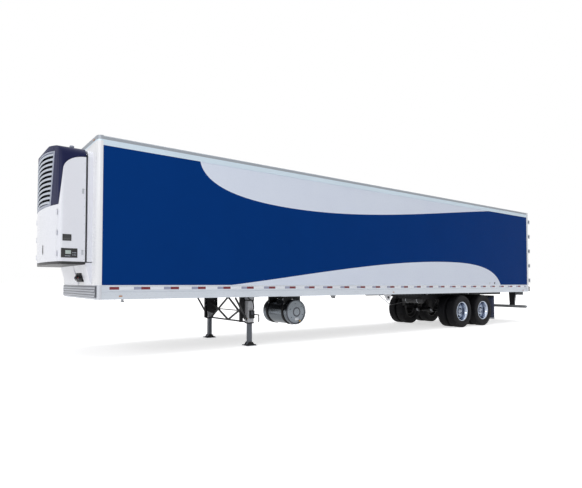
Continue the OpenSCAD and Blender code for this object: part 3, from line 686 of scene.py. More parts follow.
class Repeat:
    """Geometry Nodes trees that copy a small mesh along a line or round an axis."""

    _trees: dict[str, bpy.types.NodeTree] = {}

    @classmethod
    def _start(cls, name: str, inputs: Sequence[tuple[str, str]]) -> bpy.types.NodeTree:
        """Makes a tree with the sockets that every repeat has."""
        tree = bpy.data.node_groups.new(name, "GeometryNodeTree")
        new = tree.interface.new_socket
        new(name="Geometry", in_out="INPUT", socket_type="NodeSocketGeometry")
        for label, kind in inputs:
            new(name=label, in_out="INPUT", socket_type=kind)
        new(name="Material", in_out="INPUT", socket_type="NodeSocketMaterial")
        new(name="Geometry", in_out="OUTPUT", socket_type="NodeSocketGeometry")
        return tree

    @staticmethod
    def _finish(tree: bpy.types.NodeTree, start: bpy.types.Node, instances: bpy.types.Node) -> None:
        """Realizes the copies and gives them the material."""
        real = tree.nodes.new("GeometryNodeRealizeInstances")
        paint = tree.nodes.new("GeometryNodeSetMaterial")
        end = tree.nodes.new("NodeGroupOutput")
        tree.links.new(instances.outputs["Instances"], real.inputs["Geometry"])
        tree.links.new(real.outputs["Geometry"], paint.inputs["Geometry"])
        tree.links.new(start.outputs["Material"], paint.inputs["Material"])
        tree.links.new(paint.outputs["Geometry"], end.inputs["Geometry"])

    @classmethod
    def line_tree(cls) -> bpy.types.NodeTree:
        """Copies at equal steps along a line, with inputs Count and Step."""
        if "line" not in cls._trees:
            tree = cls._start("repeat_along_line",
                              (("Count", "NodeSocketInt"), ("Step", "NodeSocketVector")))
            start = tree.nodes.new("NodeGroupInput")
            line = tree.nodes.new("GeometryNodeMeshLine")
            line.mode = "OFFSET"
            copies = tree.nodes.new("GeometryNodeInstanceOnPoints")
            link = tree.links.new
            link(start.outputs["Count"], line.inputs["Count"])
            link(start.outputs["Step"], line.inputs["Offset"])
            link(line.outputs["Mesh"], copies.inputs["Points"])
            link(start.outputs["Geometry"], copies.inputs["Instance"])
            cls._finish(tree, start, copies)
            cls._trees["line"] = tree
        return cls._trees["line"]

    @classmethod
    def ring_tree(cls) -> bpy.types.NodeTree:
        """Copies turned evenly about the origin, with inputs Count and Turn, and then moved to Centre."""
        if "ring" not in cls._trees:
            tree = cls._start("repeat_round_axis",
                              (("Count", "NodeSocketInt"), ("Turn", "NodeSocketVector"),
                               ("Centre", "NodeSocketVector")))
            start = tree.nodes.new("NodeGroupInput")
            points = tree.nodes.new("GeometryNodePoints")
            index = tree.nodes.new("GeometryNodeInputIndex")
            angle = tree.nodes.new("ShaderNodeVectorMath")
            angle.operation = "SCALE"
            copies = tree.nodes.new("GeometryNodeInstanceOnPoints")
            link = tree.links.new
            link(start.outputs["Count"], points.inputs["Count"])
            link(start.outputs["Centre"], points.inputs["Position"])
            link(start.outputs["Turn"], angle.inputs[0])
            link(index.outputs["Index"], angle.inputs["Scale"])
            link(angle.outputs["Vector"], copies.inputs["Rotation"])
            link(points.outputs["Points"], copies.inputs["Points"])
            link(start.outputs["Geometry"], copies.inputs["Instance"])
            cls._finish(tree, start, copies)
            cls._trees["ring"] = tree
        return cls._trees["ring"]

    @staticmethod
    def apply(source: bpy.types.Object, tree: bpy.types.NodeTree, finish: Finish,
              **values: object) -> bpy.types.Object:
        """Runs a tree on an object and keeps the result as its plain mesh.

        Args:
            source: The object that holds the mesh to copy.
            tree: The tree to run.
            finish: The finish of the copies.
            values: The tree's inputs by name.

        Returns:
            The same object, with all the copies in its mesh and no modifier.
        """
        modifier = source.modifiers.new("repeat", "NODES")
        modifier.node_group = tree
        names = {item.name: item.identifier for item in tree.interface.items_tree
                 if item.in_out == "INPUT"}
        modifier[names["Material"]] = finish.material()
        for name, value in values.items():
            modifier[names[name]] = value
        bpy.context.view_layer.update()
        graph = bpy.context.evaluated_depsgraph_get()
        mesh = bpy.data.meshes.new_from_object(source.evaluated_get(graph))
        source.modifiers.remove(modifier)
        source.data = mesh
        return source

    @classmethod
    def along(cls, source: bpy.types.Object, finish: Finish, count: int, step: Point) -> bpy.types.Object:
        """Copies along a line.

        Args:
            source: The object to copy.
            finish: The finish of the copies.
            count: How many there are.
            step: The move from each to the next.

        Returns:
            The object, with its copies.
        """
        return cls.apply(source, cls.line_tree(), finish, Count=count, Step=tuple(step))

    @classmethod
    def around(cls, source: bpy.types.Object, finish: Finish, count: int, axis: Axis,
               centre: Point) -> bpy.types.Object:
        """Copies evenly round an axis through the origin, and moves them to a centre.

        Args:
            source: The object to copy, modelled round the origin.
            finish: The finish of the copies.
            count: How many there are.
            axis: The axis that they turn about.
            centre: Where the axis is.

        Returns:
            The object, with its copies.
        """
        turn = tuple(axis.unit * (2 * math.pi / count))
        return cls.apply(source, cls.ring_tree(), finish, Count=count, Turn=turn, Centre=tuple(centre))


def join(name: str, *parts: bpy.types.Object) -> bpy.types.Object:
    """Joins objects at the origin into one, keeping each face's material.

    Args:
        name: The name of the result.
        parts: The objects to join; they are removed.

    Returns:
        The joined object.
    """
    bpy.ops.object.select_all(action="DESELECT")
    for part in parts:
        part.select_set(True)
    bpy.context.view_layer.objects.active = parts[0]
    bpy.ops.object.join()
    parts[0].name = name
    return parts[0]


# ---------------------------------------------------------------- the trailer's own measures

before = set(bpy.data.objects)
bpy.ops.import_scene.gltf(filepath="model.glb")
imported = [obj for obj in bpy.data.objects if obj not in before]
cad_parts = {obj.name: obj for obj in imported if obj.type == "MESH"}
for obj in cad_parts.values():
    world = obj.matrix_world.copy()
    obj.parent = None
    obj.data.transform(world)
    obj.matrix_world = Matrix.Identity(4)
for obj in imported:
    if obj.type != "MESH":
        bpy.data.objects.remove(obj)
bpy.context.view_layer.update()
NOSE_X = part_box("nose_wall")[1].x
HALF_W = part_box("bottom_rails")[1].y
RAIL_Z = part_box("bottom_rails")[0].z
RAIL_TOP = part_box("bottom_rails")[1].z
WALL_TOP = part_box("side_wall_left")[1].z
WALL_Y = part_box("side_wall_left")[1].y
ROOF_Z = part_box("roof_panel")[1].z
WALL_S0 = NOSE_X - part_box("side_wall_left")[1].x
WALL_S1 = NOSE_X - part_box("side_wall_left")[0].x
REAR_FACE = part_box("dock_bumpers")[1].x


@dataclass
class BodyShell:
    """Side films, rails, rivets, tape and lamps of the cargo body.

    Attributes:
        rivet_r: Radius of a rivet's head.
        rivet_pitch: Distance between rivets.
        tape_h: Height of the reflective tape.
        tape_z: Height of the tape's middle.
        tape_pitch: Distance from one red block to the next.
        red_l: Length of a red block.
        white_l: Length of a pale block.
        tape_s0: Where the first red block starts.
        recess: Depth of the rail's recessed face.
        upper_swoosh: Curves of the upper pale shape, as distance behind the nose and height.
        lower_swoosh: Curves of the lower pale shape.
    """

    rivet_r: float = 0.007
    rivet_pitch: float = 0.1
    tape_h: float = 0.05
    tape_z: float = 1.322
    tape_pitch: float = 0.601
    red_l: float = 0.178
    white_l: float = 0.279
    tape_s0: float = 0.24
    recess: float = 0.003
    upper_swoosh: tuple = field(default=(
        ((2.08, 3.93), (2.2, 3.45), (3.0, 3.19), (5.0, 3.185)),
        ((5.0, 3.185), (7.4, 3.18), (10.2, 3.6), (13.3, 3.93)),
    ))
    lower_swoosh: tuple = field(default=(
        ((2.85, 1.38), (5.0, 1.61), (8.0, 2.098), (11.1, 2.098)),
        ((11.1, 2.098), (12.9, 2.098), (13.75, 1.85), (14.02, 1.38)),
    ))

    def build(self) -> None:
        """Builds every piece of the shell."""
        self._finish_panels()
        for side in Side:
            self._films(side)
            self._tape(side)
            self._rail_details(side)
            self._lamps(side)
        self._roof_bows()
        self._nose()

    def _finish_panels(self) -> None:
        """Gives the CAD panels their finishes."""
        for node, finish in {
            "floor_deck": Finishes.FLOOR, "underframe": Finishes.CHASSIS, "bottom_rails": Finishes.RAIL,
            "side_wall_left": Finishes.BLUE, "side_wall_right": Finishes.BLUE,
            "roof_panel": Finishes.ROOF, "top_rails": Finishes.RAIL_TOP, "nose_wall": Finishes.WHITE,
            "nose_header": Finishes.RAIL_TOP, "nose_sill": Finishes.SILL,
        }.items():
            dress(node, finish)

    def _films(self, side: Side) -> None:
        """Lays the two pale swooshes on a side wall."""
        y0, y1 = sorted((side.value * WALL_Y, side.value * (WALL_Y + FILM)))
        for word, parts in (("upper", self.upper_swoosh), ("lower", self.lower_swoosh)):
            outline = [(place_along(s), z) for s, z in curve_points(parts)]
            piece = Shape().prism(outline, Axis.Y, y0, y1).object(
                f"side_swoosh_{word}_{side.word}", Finishes.SWOOSH, smooth=0)
            install(piece, TRAILER, "blue_side")

    def _tape(self, side: Side) -> None:
        """Puts red and pale reflective blocks along a bottom rail."""
        face = HALF_W - self.recess
        y0, y1 = sorted((side.value * face, side.value * (face + FILM)))
        low, high = self.tape_z - self.tape_h / 2, self.tape_z + self.tape_h / 2
        count = int((WALL_S1 - self.tape_s0) / self.tape_pitch)
        dull_s = self.tape_s0 + self.red_l + self.white_l
        for word, start, length, finish in (
            ("red", self.tape_s0, self.red_l, Finishes.RED),
            ("pale", self.tape_s0 + self.red_l, self.white_l, Finishes.PALE_TAPE),
            ("dull", dull_s, self.tape_pitch - self.red_l - self.white_l, Finishes.LILAC),
        ):
            x1 = place_along(start)
            piece = Shape().box((x1 - length, y0, low), (x1, y1, high)).object(
                f"rail_tape_{word}_{side.word}", finish, smooth=0)
            Repeat.along(piece, finish, count, (-self.tape_pitch, 0, 0))
            install(piece, TRAILER, "aluminium_rail")

    def _rail_details(self, side: Side) -> None:
        """Puts rows of rivets along the rails."""
        count = int((WALL_S1 - WALL_S0 - 0.1) / self.rivet_pitch)
        for word, z, y in (
            ("bottom_rail_low", RAIL_Z + 0.09, HALF_W - 0.012), ("bottom_rail_high", RAIL_TOP - 0.018, HALF_W),
            ("top_rail_low", WALL_TOP + 0.025, HALF_W), ("top_rail_high", WALL_TOP + 0.11, HALF_W),
        ):
            x = place_along(WALL_S0 + 0.06)
            sunk = 0.003 if y == HALF_W else 0.0
            start = (x, side.value * (y - 0.004), z)
            end = (x, side.value * (y + 0.0028 - sunk), z)
            piece = Shape().rod(start, end, self.rivet_r, 8, self.rivet_r * 0.6).object(
                f"rivets_{word}_{side.word}", Finishes.ZINC)
            Repeat.along(piece, Finishes.ZINC, count, (-self.rivet_pitch, 0, 0))
            install(piece, TRAILER, "aluminium_rail")

    def _lamps(self, side: Side) -> None:
        """Adds the small side marker lamps and the rear warning lamp."""
        for word, s, finish in (("front", 0.45, Finishes.AMBER_LENS), ("middle", 8.2, Finishes.AMBER_LENS),
                                ("rear", WALL_S1 - 0.3, Finishes.RED_LENS)):
            x = place_along(s)
            base = Shape().box((x - 0.032, side.value * (HALF_W - 0.014), 1.162),
                               (x + 0.032, side.value * (HALF_W - 0.004), 1.19), 0.006)
            piece = base.object(f"marker_lamp_{word}_{side.word}", finish)
            install(piece, TRAILER, "aluminium_rail")
        if side is Side.LEFT:
            x = place_along(13.62)
            lamp = Shape().rod((x, WALL_Y - 0.01, 1.44), (x, WALL_Y + 0.004, 1.44), 0.034, 24)
            plate = Shape().box((place_along(13.33), WALL_Y, 1.40), (place_along(13.29), WALL_Y + 0.003, 1.47))
            install(lamp.object("warning_lamp", Finishes.BLACK), TRAILER, "blue_side")
            install(plate.object("blank_plate", Finishes.ZINC), TRAILER, "blue_side")

    def _roof_bows(self) -> None:
        """Presses shallow bow lines across the roof skin."""
        piece = Shape().box((NOSE_X - 0.7, -WALL_Y + 0.08, ROOF_Z - 0.004),
                            (NOSE_X - 0.66, WALL_Y - 0.08, ROOF_Z), 0.002)
        made = piece.object("roof_bows", Finishes.ROOF)
        Repeat.along(made, Finishes.ROOF, 25, (-0.61, 0, 0))
        install(made, TRAILER, "white_panel")

    def _nose(self) -> None:
        """Adds the nose's rivets and clearance lamps."""
        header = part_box("nose_header")
        for y in (-1.05, -0.15, 0.0, 0.15, 1.05):
            z = (header[0].z + header[1].z) / 2
            lamp = Shape().box((NOSE_X - 0.01, y - 0.035, z - 0.012), (NOSE_X + 0.016, y + 0.035, z + 0.012), 0.008)
            install(lamp.object(f"clearance_lamp_{round(10 * (y + 2))}", Finishes.AMBER_LENS),
                    TRAILER, "aluminium_rail")
        for word, z in (("sill_high", RAIL_TOP - 0.03), ("sill_low", RAIL_Z + 0.035)):
            row = Shape().rod((NOSE_X - 0.004, -1.1, z), (NOSE_X + 0.003, -1.1, z), self.rivet_r, 8, 0.004)
            made = row.object(f"rivets_nose_{word}", Finishes.ZINC)
            Repeat.along(made, Finishes.ZINC, 23, (0, 0.1, 0))
            install(made, TRAILER, "aluminium_rail")


def dress(node: str, finish: Finish) -> None:
    """Gives a CAD node a finish in all its material slots.

    Args:
        node: The node's name.
        finish: Its finish.
    """
    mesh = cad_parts[node].data
    if not mesh.materials:
        mesh.materials.append(None)
    for i in range(len(mesh.materials)):
        mesh.materials[i] = finish.material()


def smooth_copy(node: str, name: str, finish: Finish, angle: float = 28.0) -> bpy.types.Object:
    """Copies a CAD node's shape with its corners welded, so that its curves shade smooth.

    Args:
        node: The node to copy.
        name: Name of the copy.
        finish: Its finish.
        angle: Angle in degrees below which edges shade smooth.

    Returns:
        The new object.
    """
    shape = Shape()
    shape.bm.from_mesh(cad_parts[node].data)
    bmesh.ops.remove_doubles(shape.bm, verts=shape.bm.verts[:], dist=0.00002)
    return shape.object(name, finish, angle)


@dataclass
class RefrigerationUnit:
    """The cooling unit on the nose: cowl, louvred grille, doors, controls and small fittings.

    Attributes:
        bow_r: Radius of the bow across the front, seen from above.
        arch_r: Radius of the arch across the top, seen from the front.
        grille_y: Half the grille's width at its foot and at its top.
        louvres: Number of louvres.
        rim: Width of the strip round the grille.
        neck: Gap behind the side panels, as distances ahead of the nose wall.
        display: Low and high corner of the square display, as X ahead of the wall and height.
        panel: The same for the control panel.
        screen: The same for the panel's pale screen.
        latch_y: Distance of a door latch from the centre line.
        latch_z: Height of the latch's foot and head.
    """

    bow_r: float = 3.9
    arch_r: float = 5.2
    grille_y: tuple[float, float] = (0.64, 0.8)
    louvres: int = 11
    rim: float = 0.03
    neck: tuple[float, float] = (0.092, 0.124)
    display: tuple = ((0.371, 2.174), (0.521, 2.291))
    panel: tuple = ((0.264, 1.872), (0.542, 2.041))
    screen: tuple = ((0.375, 1.937), (0.470, 2.004))
    latch_y: float = 0.25
    latch_z: tuple[float, float] = (1.95, 2.13)

    def build(self) -> None:
        """Builds the unit's looks."""
        self.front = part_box("unit_grille")[1].x
        self.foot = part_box("unit_grille")[0].z
        self.side_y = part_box("unit_sides")[1].y
        self.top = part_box("unit_cowl")[1].z
        for node, finish in {
            "unit_frame": Finishes.UNIT_WHITE, "unit_sides": Finishes.UNIT_WHITE,
            "unit_skirt": Finishes.UNIT_WHITE, "unit_engine": Finishes.DARK,
            "unit_condenser": Finishes.CORE, "unit_pan": Finishes.BLACK,
        }.items():
            dress(node, finish)
        install(smooth_copy("unit_cowl", "cowl", Finishes.NAVY), TRAILER, "unit_navy", "unit_cowl")
        for side in Side:
            install(smooth_copy(f"unit_door_{side.word}", f"service_door_{side.word}", Finishes.UNIT_WHITE),
                    f"unit_service_door_{side.word}", "unit_white", f"unit_door_{side.word}")
            self._side_fittings(side)
        self._grille()
        self._door_latch()
        self._neck_seal()
        self._controls()
        self._top_fittings()
        self._pan_details()

    def face(self, y: float, back: float = 0.0) -> float:
        """X of the bowed front at a distance y from the centre line.

        Args:
            y: Distance from the centre line.
            back: How far behind the surface.

        Returns:
            The X in the frame.
        """
        return self.front - self.bow_r - back + math.sqrt((self.bow_r ** 2) - y * y)

    def sag(self, y: float) -> float:
        """How far the arch has dropped at a distance y from the centre line."""
        return self.arch_r - math.sqrt(self.arch_r ** 2 - y * y)

    def _half_width(self, z: float) -> float:
        """Half the grille's width at a height."""
        share = (z - self.foot) / (self.top - 0.1 - self.foot)
        return self.grille_y[0] + (self.grille_y[1] - self.grille_y[0]) * share

    def _strip(self, shape: Shape, half: float, section: Sequence[tuple[float, float]],
               z: float, arched: float = 1.0) -> None:
        """Sweeps a section across the bowed front.

        Args:
            shape: The shape that it is added to.
            half: Half the strip's length.
            section: Points as distance behind the front and rise.
            z: Height of the section's origin at the middle.
            arched: How much of the arch it follows.
        """
        steps = 24
        rings = []
        for k in range(steps + 1):
            y = half * (2 * k / steps - 1)
            rings.append([(self.face(y, back), y, z + rise - arched * self.sag(y)) for back, rise in section])
        shape.loft(rings)

    def _grille(self) -> None:
        """Arched louvres in their rim, with a dark mesh behind them."""
        head = self.top - 0.1
        pitch = (head - self.foot - 0.07) / self.louvres
        blade = ((0.006, 0.0), (0.002, 0.012), (0.002, 0.036), (0.01, 0.043), (0.05, 0.062),
                 (0.052, 0.058), (0.014, 0.034), (0.014, 0.002))
        slats, lips = Shape(), Shape()
        for i in range(self.louvres):
            z = self.foot + 0.075 + i * pitch
            self._strip(slats, self._half_width(z) - self.rim + 0.004, blade, z)
        install(slats.object("grille_louvres", Finishes.SLAT), TRAILER, "unit_grille_dark", "unit_grille")

        for side in Side:
            rings = []
            for k in range(13):
                z = self.foot + 0.004 + k / 12 * (head - self.sag(self.grille_y[1]) - self.foot - 0.004)
                outer = self._half_width(z) + 0.024
                inner = self._half_width(z) - self.rim
                rings.append([(self.face(outer, -0.004), side.value * outer, z),
                              (self.face(inner, -0.004), side.value * inner, z),
                              (self.face(inner, 0.05), side.value * inner, z),
                              (self.face(outer, 0.05), side.value * outer, z)])
            lips.loft(rings)
        band = ((0.0002, 0.0), (0.0002, 0.03), (0.05, 0.03), (0.05, 0.0))
        self._strip(lips, self.grille_y[1] - 0.006, band, head - 0.03)
        foot_band = ((0.0004, 0.004), (0.0002, 0.05), (0.02, 0.058), (0.05, 0.058), (0.05, 0.004))
        self._strip(lips, self.grille_y[0] - 0.006, foot_band, self.foot, arched=0.3)
        install(lips.object("grille_rim", Finishes.RIM), TRAILER, "unit_grille_dark")

        mesh = Shape()
        for i in range(9):
            y = -0.56 + i * 0.14
            mesh.box((self.face(y, 0.085), y - 0.008, self.foot + 0.01),
                     (self.face(y, 0.06), y + 0.008, head - 0.1))
        screen = ((0.09, 0.0), (0.09, head - self.foot - 0.02), (0.1, head - self.foot - 0.02), (0.1, 0.0))
        self._strip(mesh, self.grille_y[0], screen, self.foot + 0.01, arched=0.9)
        install(mesh.object("grille_screen", Finishes.GRILLE), TRAILER, "unit_grille_dark")

    def _neck_seal(self) -> None:
        """Black block in the gap between the back frame and the side panels: painted shade for the shadow in that gap.
        """
        half, foot = self.side_y - 0.066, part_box("unit_frame")[0].z + 0.002
        head = self.top - 0.066
        outline = [(-half, foot), (half, foot)]
        for k in range(17):
            y = half * (1 - 2 * k / 16)
            outline.append((y, head - self.sag(y) * 1.35))
        low, high = (NOSE_X + x for x in self.neck)
        # The black here is painted shade filling the neck gap.
        install(Shape().prism(outline, Axis.X, low, high).object("neck_seal", Finishes.SEAL),
                TRAILER, "unit_dark")

    def _controls(self) -> None:
        """The display and the control panel on the left side, each in a raised bezel."""
        y = self.side_y
        for name, (low, high), inset, lift, finish in (
            ("display", self.display, 0.0, 0.005, Finishes.BLACK),
            ("display_glass", self.display, 0.016, 0.006, Finishes.SMOKED),
            ("control_panel", self.panel, 0.0, 0.005, Finishes.BLACK),
            ("control_screen", self.screen, 0.0, 0.007, Finishes.SCREEN),
        ):
            piece = Shape().box((NOSE_X + low[0] + inset, y - 0.02, low[1] + inset),
                                (NOSE_X + high[0] - inset, y + lift, high[1] - inset), 0.003)
            install(piece.object(f"unit_{name}", finish), TRAILER, "unit_dark")
        keys = Shape()
        for row in range(2):
            for column in range(3):
                x = NOSE_X + self.panel[0][0] + 0.03 + column * 0.024
                z = self.panel[0][1] + 0.05 + row * 0.04
                keys.rod((x, y, z), (x, y + 0.008, z), 0.007, 16)
        for k in range(4):
            x = NOSE_X + self.screen[0][0] + 0.012 + k * 0.024
            keys.box((x, y, self.panel[0][1] + 0.024), (x + 0.014, y + 0.008, self.panel[0][1] + 0.036), 0.002)
        install(keys.object("unit_keys", Finishes.SLAT), TRAILER, "unit_dark")

    def _side_fittings(self, side: Side) -> None:
        """Paddle latches and screws on a side panel."""
        y = side.value * self.side_y
        out = side.value * 0.012
        latches = Shape()
        for z in (1.93, 3.05):
            latches.box((NOSE_X + 0.165, y - out, z), (NOSE_X + 0.195, y + out, z + 0.09), 0.006)
            latches.rod((NOSE_X + 0.18, y, z + 0.045), (NOSE_X + 0.18, y + 1.25 * out, z + 0.045), 0.009, 16)
        install(latches.object(f"unit_side_latches_{side.word}", Finishes.ZINC), TRAILER, "unit_dark")
        screw = Shape().rod((NOSE_X + 0.15, y - 0.2 * out, 1.85), (NOSE_X + 0.15, y + 0.2 * out, 1.85),
                            0.007, 10, 0.005)
        row = screw.object(f"unit_side_screws_{side.word}", Finishes.ZINC)
        Repeat.along(row, Finishes.ZINC, 12, (0, 0, 0.16))
        install(row, TRAILER, "unit_white")

    def _door_latch(self) -> None:
        """Recessed paddle latch on the left front door."""
        y = self.latch_y
        low, high = self.latch_z
        x = self.face(y)
        latch = Shape().box((x - 0.012, y - 0.026, low), (x + 0.003, y + 0.026, high), 0.014)
        latch.box((x - 0.01, y - 0.014, low + 0.03), (x + 0.0075, y + 0.014, high - 0.05), 0.006)
        latch.rod((x - 0.01, y, high - 0.025), (x + 0.007, y, high - 0.025), 0.01, 20)
        install(latch.object("service_door_latch", Finishes.BLACK), "unit_service_door_left", "unit_dark")

    def _top_fittings(self) -> None:
        """Round vent cap and lifting eyes on the cowl's top."""
        y = 0.83
        x = NOSE_X + 0.34
        z = self.top - self.sag(y) - 0.035
        cap = Shape().lathe((x, y, z), Vector((0, 0, 1)), (
            (0.0, 0.0), (0.03, 0.0), (0.03, 0.04), (0.04, 0.044), (0.042, 0.062), (0.034, 0.074), (0.0, 0.08)), 32)
        install(cap.object("unit_vent_cap", Finishes.RIM), TRAILER, "unit_dark")
        eyes = Shape()
        for side in Side:
            base = side.value * 0.45
            z = self.top - self.sag(base)
            path = [(x - 0.05 + 0.05 * math.sin(a), base, z - 0.004 + 0.03 * math.cos(a))
                    for a in [math.radians(-90 + 18 * k) for k in range(11)]]
            eyes.tube(path, 0.005, 8)
        install(eyes.object("unit_lifting_eyes", Finishes.ZINC), TRAILER, "unit_dark")

    def _pan_details(self) -> None:
        """Drain spouts and stiffening ribs under the pan."""
        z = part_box("unit_pan")[0].z
        shape = Shape()
        for y in (-0.7, 0.0, 0.7):
            shape.box((NOSE_X + 0.14, y - 0.012, z), (NOSE_X + 0.56, y + 0.012, z + 0.006), 0.002)
        for y in (-0.85, 0.85):
            shape.rod((NOSE_X + 0.2, y, z + 0.01), (NOSE_X + 0.2, y, z + 0.001), 0.016, 16)
        install(shape.object("unit_pan_ribs", Finishes.BLACK), TRAILER, "unit_dark")


@dataclass
class NoseFittings:
    """Hose couplings and the electrical socket on the nose, and the plate along the sill.

    Attributes:
        socket_y: Distance of the socket from the centre line.
        coupling_ys: Distances of the two air couplings.
        height: Height of the socket's middle.
        bore: Radius of the socket's bore.
        reach: How far the socket reaches ahead of the nose wall.
    """

    socket_y: float = 0.33
    coupling_ys: tuple[float, float] = (0.2, 0.46)
    height: float = 1.525
    bore: float = 0.026
    reach: float = 0.119

    def build(self) -> None:
        """Builds the fittings."""
        low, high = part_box("service_connectors")
        board = Shape().box((NOSE_X, low.y, low.z), (NOSE_X + 0.058, high.y, high.z), 0.012)
        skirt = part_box("unit_skirt")
        hood = Shape().prism([(NOSE_X, high.z + 0.002), (NOSE_X + 0.069, high.z + 0.002), (skirt[1].x, skirt[1].z),
                              (NOSE_X, skirt[1].z)], Axis.Y, low.y - 0.012, high.y + 0.012)
        install(hood.object("connector_hood", Finishes.UNIT_WHITE), TRAILER, "unit_white")
        install(board.object("connector_box", Finishes.DARK), TRAILER, "connector_black",
                "service_connectors")
        ahead = Vector((1, 0, 0))
        socket = Shape().lathe(
            (NOSE_X + 0.057, self.socket_y, self.height), ahead,
            ((0.0, 0.0), (0.045, 0.0), (0.045, 0.006), (0.037, 0.01), (0.036, 0.05), (0.038, 0.053),
             (0.038, 0.0615), (self.bore, 0.0615), (self.bore, 0.02), (0.0, 0.02)), 40)
        x = NOSE_X + self.reach
        socket.box((x - 0.02, self.socket_y - 0.035, self.height + 0.036),
                   (x - 0.002, self.socket_y + 0.035, self.height + 0.044), 0.002)
        socket.rod((x - 0.02, self.socket_y - 0.03, self.height + 0.04),
                   (x - 0.02, self.socket_y + 0.03, self.height + 0.04), 0.005, 12)
        install(socket.object("electrical_socket", Finishes.BLACK), TRAILER, "connector_black")
        self._pins()
        for word, y, finish in (("service", self.coupling_ys[0], Finishes.HOSE_BLUE),
                                ("emergency", self.coupling_ys[1], Finishes.HOSE_RED)):
            self._coupling(word, y, finish)
        self._sill_plate()

    def _pins(self) -> None:
        """Contact pins in the socket."""
        pin = Shape().rod((0, 0, 0.015), (0.025, 0, 0.015), 0.003, 10)
        made = pin.object("socket_pins", Finishes.BRASS)
        Repeat.around(made, Finishes.BRASS, 6, Axis.X, (NOSE_X + 0.076, self.socket_y, self.height))
        install(made, TRAILER, "connector_black")

    def _coupling(self, word: str, y: float, finish: Finish) -> None:
        """One air coupling: elbow, round face with its seal, and the locking lug."""
        x, z = NOSE_X + 0.055, self.height
        body = Shape().tube([(x, y, z + 0.03), (x + 0.02, y, z + 0.03), (x + 0.035, y, z + 0.02),
                             (x + 0.04, y, z - 0.005)], 0.014, 14)
        body.lathe((x + 0.03, y, z - 0.01), Vector((1, 0, 0.35)).normalized(),
                   ((0.0, 0.0), (0.028, 0.0), (0.033, 0.006), (0.033, 0.018), (0.026, 0.022), (0.0, 0.022)), 32)
        body.box((x + 0.03, y + 0.012, z - 0.062), (x + 0.044, y + 0.034, z - 0.012), 0.004)
        body.box((x + 0.03, y - 0.034, z - 0.03), (x + 0.05, y - 0.022, z + 0.012), 0.003)
        install(body.object(f"air_coupling_{word}", Finishes.STEEL_DARK), TRAILER, "connector_black")
        ring = Shape().lathe((x + 0.0507, y, z - 0.0028), Vector((1, 0, 0.35)).normalized(),
                             ((0.008, 0.0), (0.017, 0.0), (0.019, 0.003), (0.017, 0.006), (0.008, 0.006)), 28)
        install(ring.object(f"air_coupling_seal_{word}", finish), TRAILER, "connector_black")

    def _sill_plate(self) -> None:
        """Grey plate on the sill, pressed with rows of small pads; the plate is real, and its darker grey is painted
        shade on the sill's front face.
        """
        low, high = RAIL_Z + 0.03, RAIL_TOP - 0.012
        plate = Shape().box((NOSE_X, -1.26, low), (NOSE_X + 0.004, 1.26, high), 0.001)
        # The plate's darker grey is painted shade on the sill's front face; the pads keep the sill's own colour.
        install(plate.object("sill_plate", Finishes.PLATE), TRAILER, "aluminium_rail")
        pads = Shape()
        for row in range(4):
            z = low + 0.016 + row * (high - low - 0.026) / 4
            y = -1.24 + 0.03 * (row % 2)
            pads.box((NOSE_X + 0.003, y, z), (NOSE_X + 0.011, y + 0.036, z + 0.03), 0.003)
        made = pads.object("sill_plate_pads", Finishes.SILL)
        Repeat.along(made, Finishes.SILL, 41, (0, 0.06, 0))
        install(made, TRAILER, "aluminium_rail")


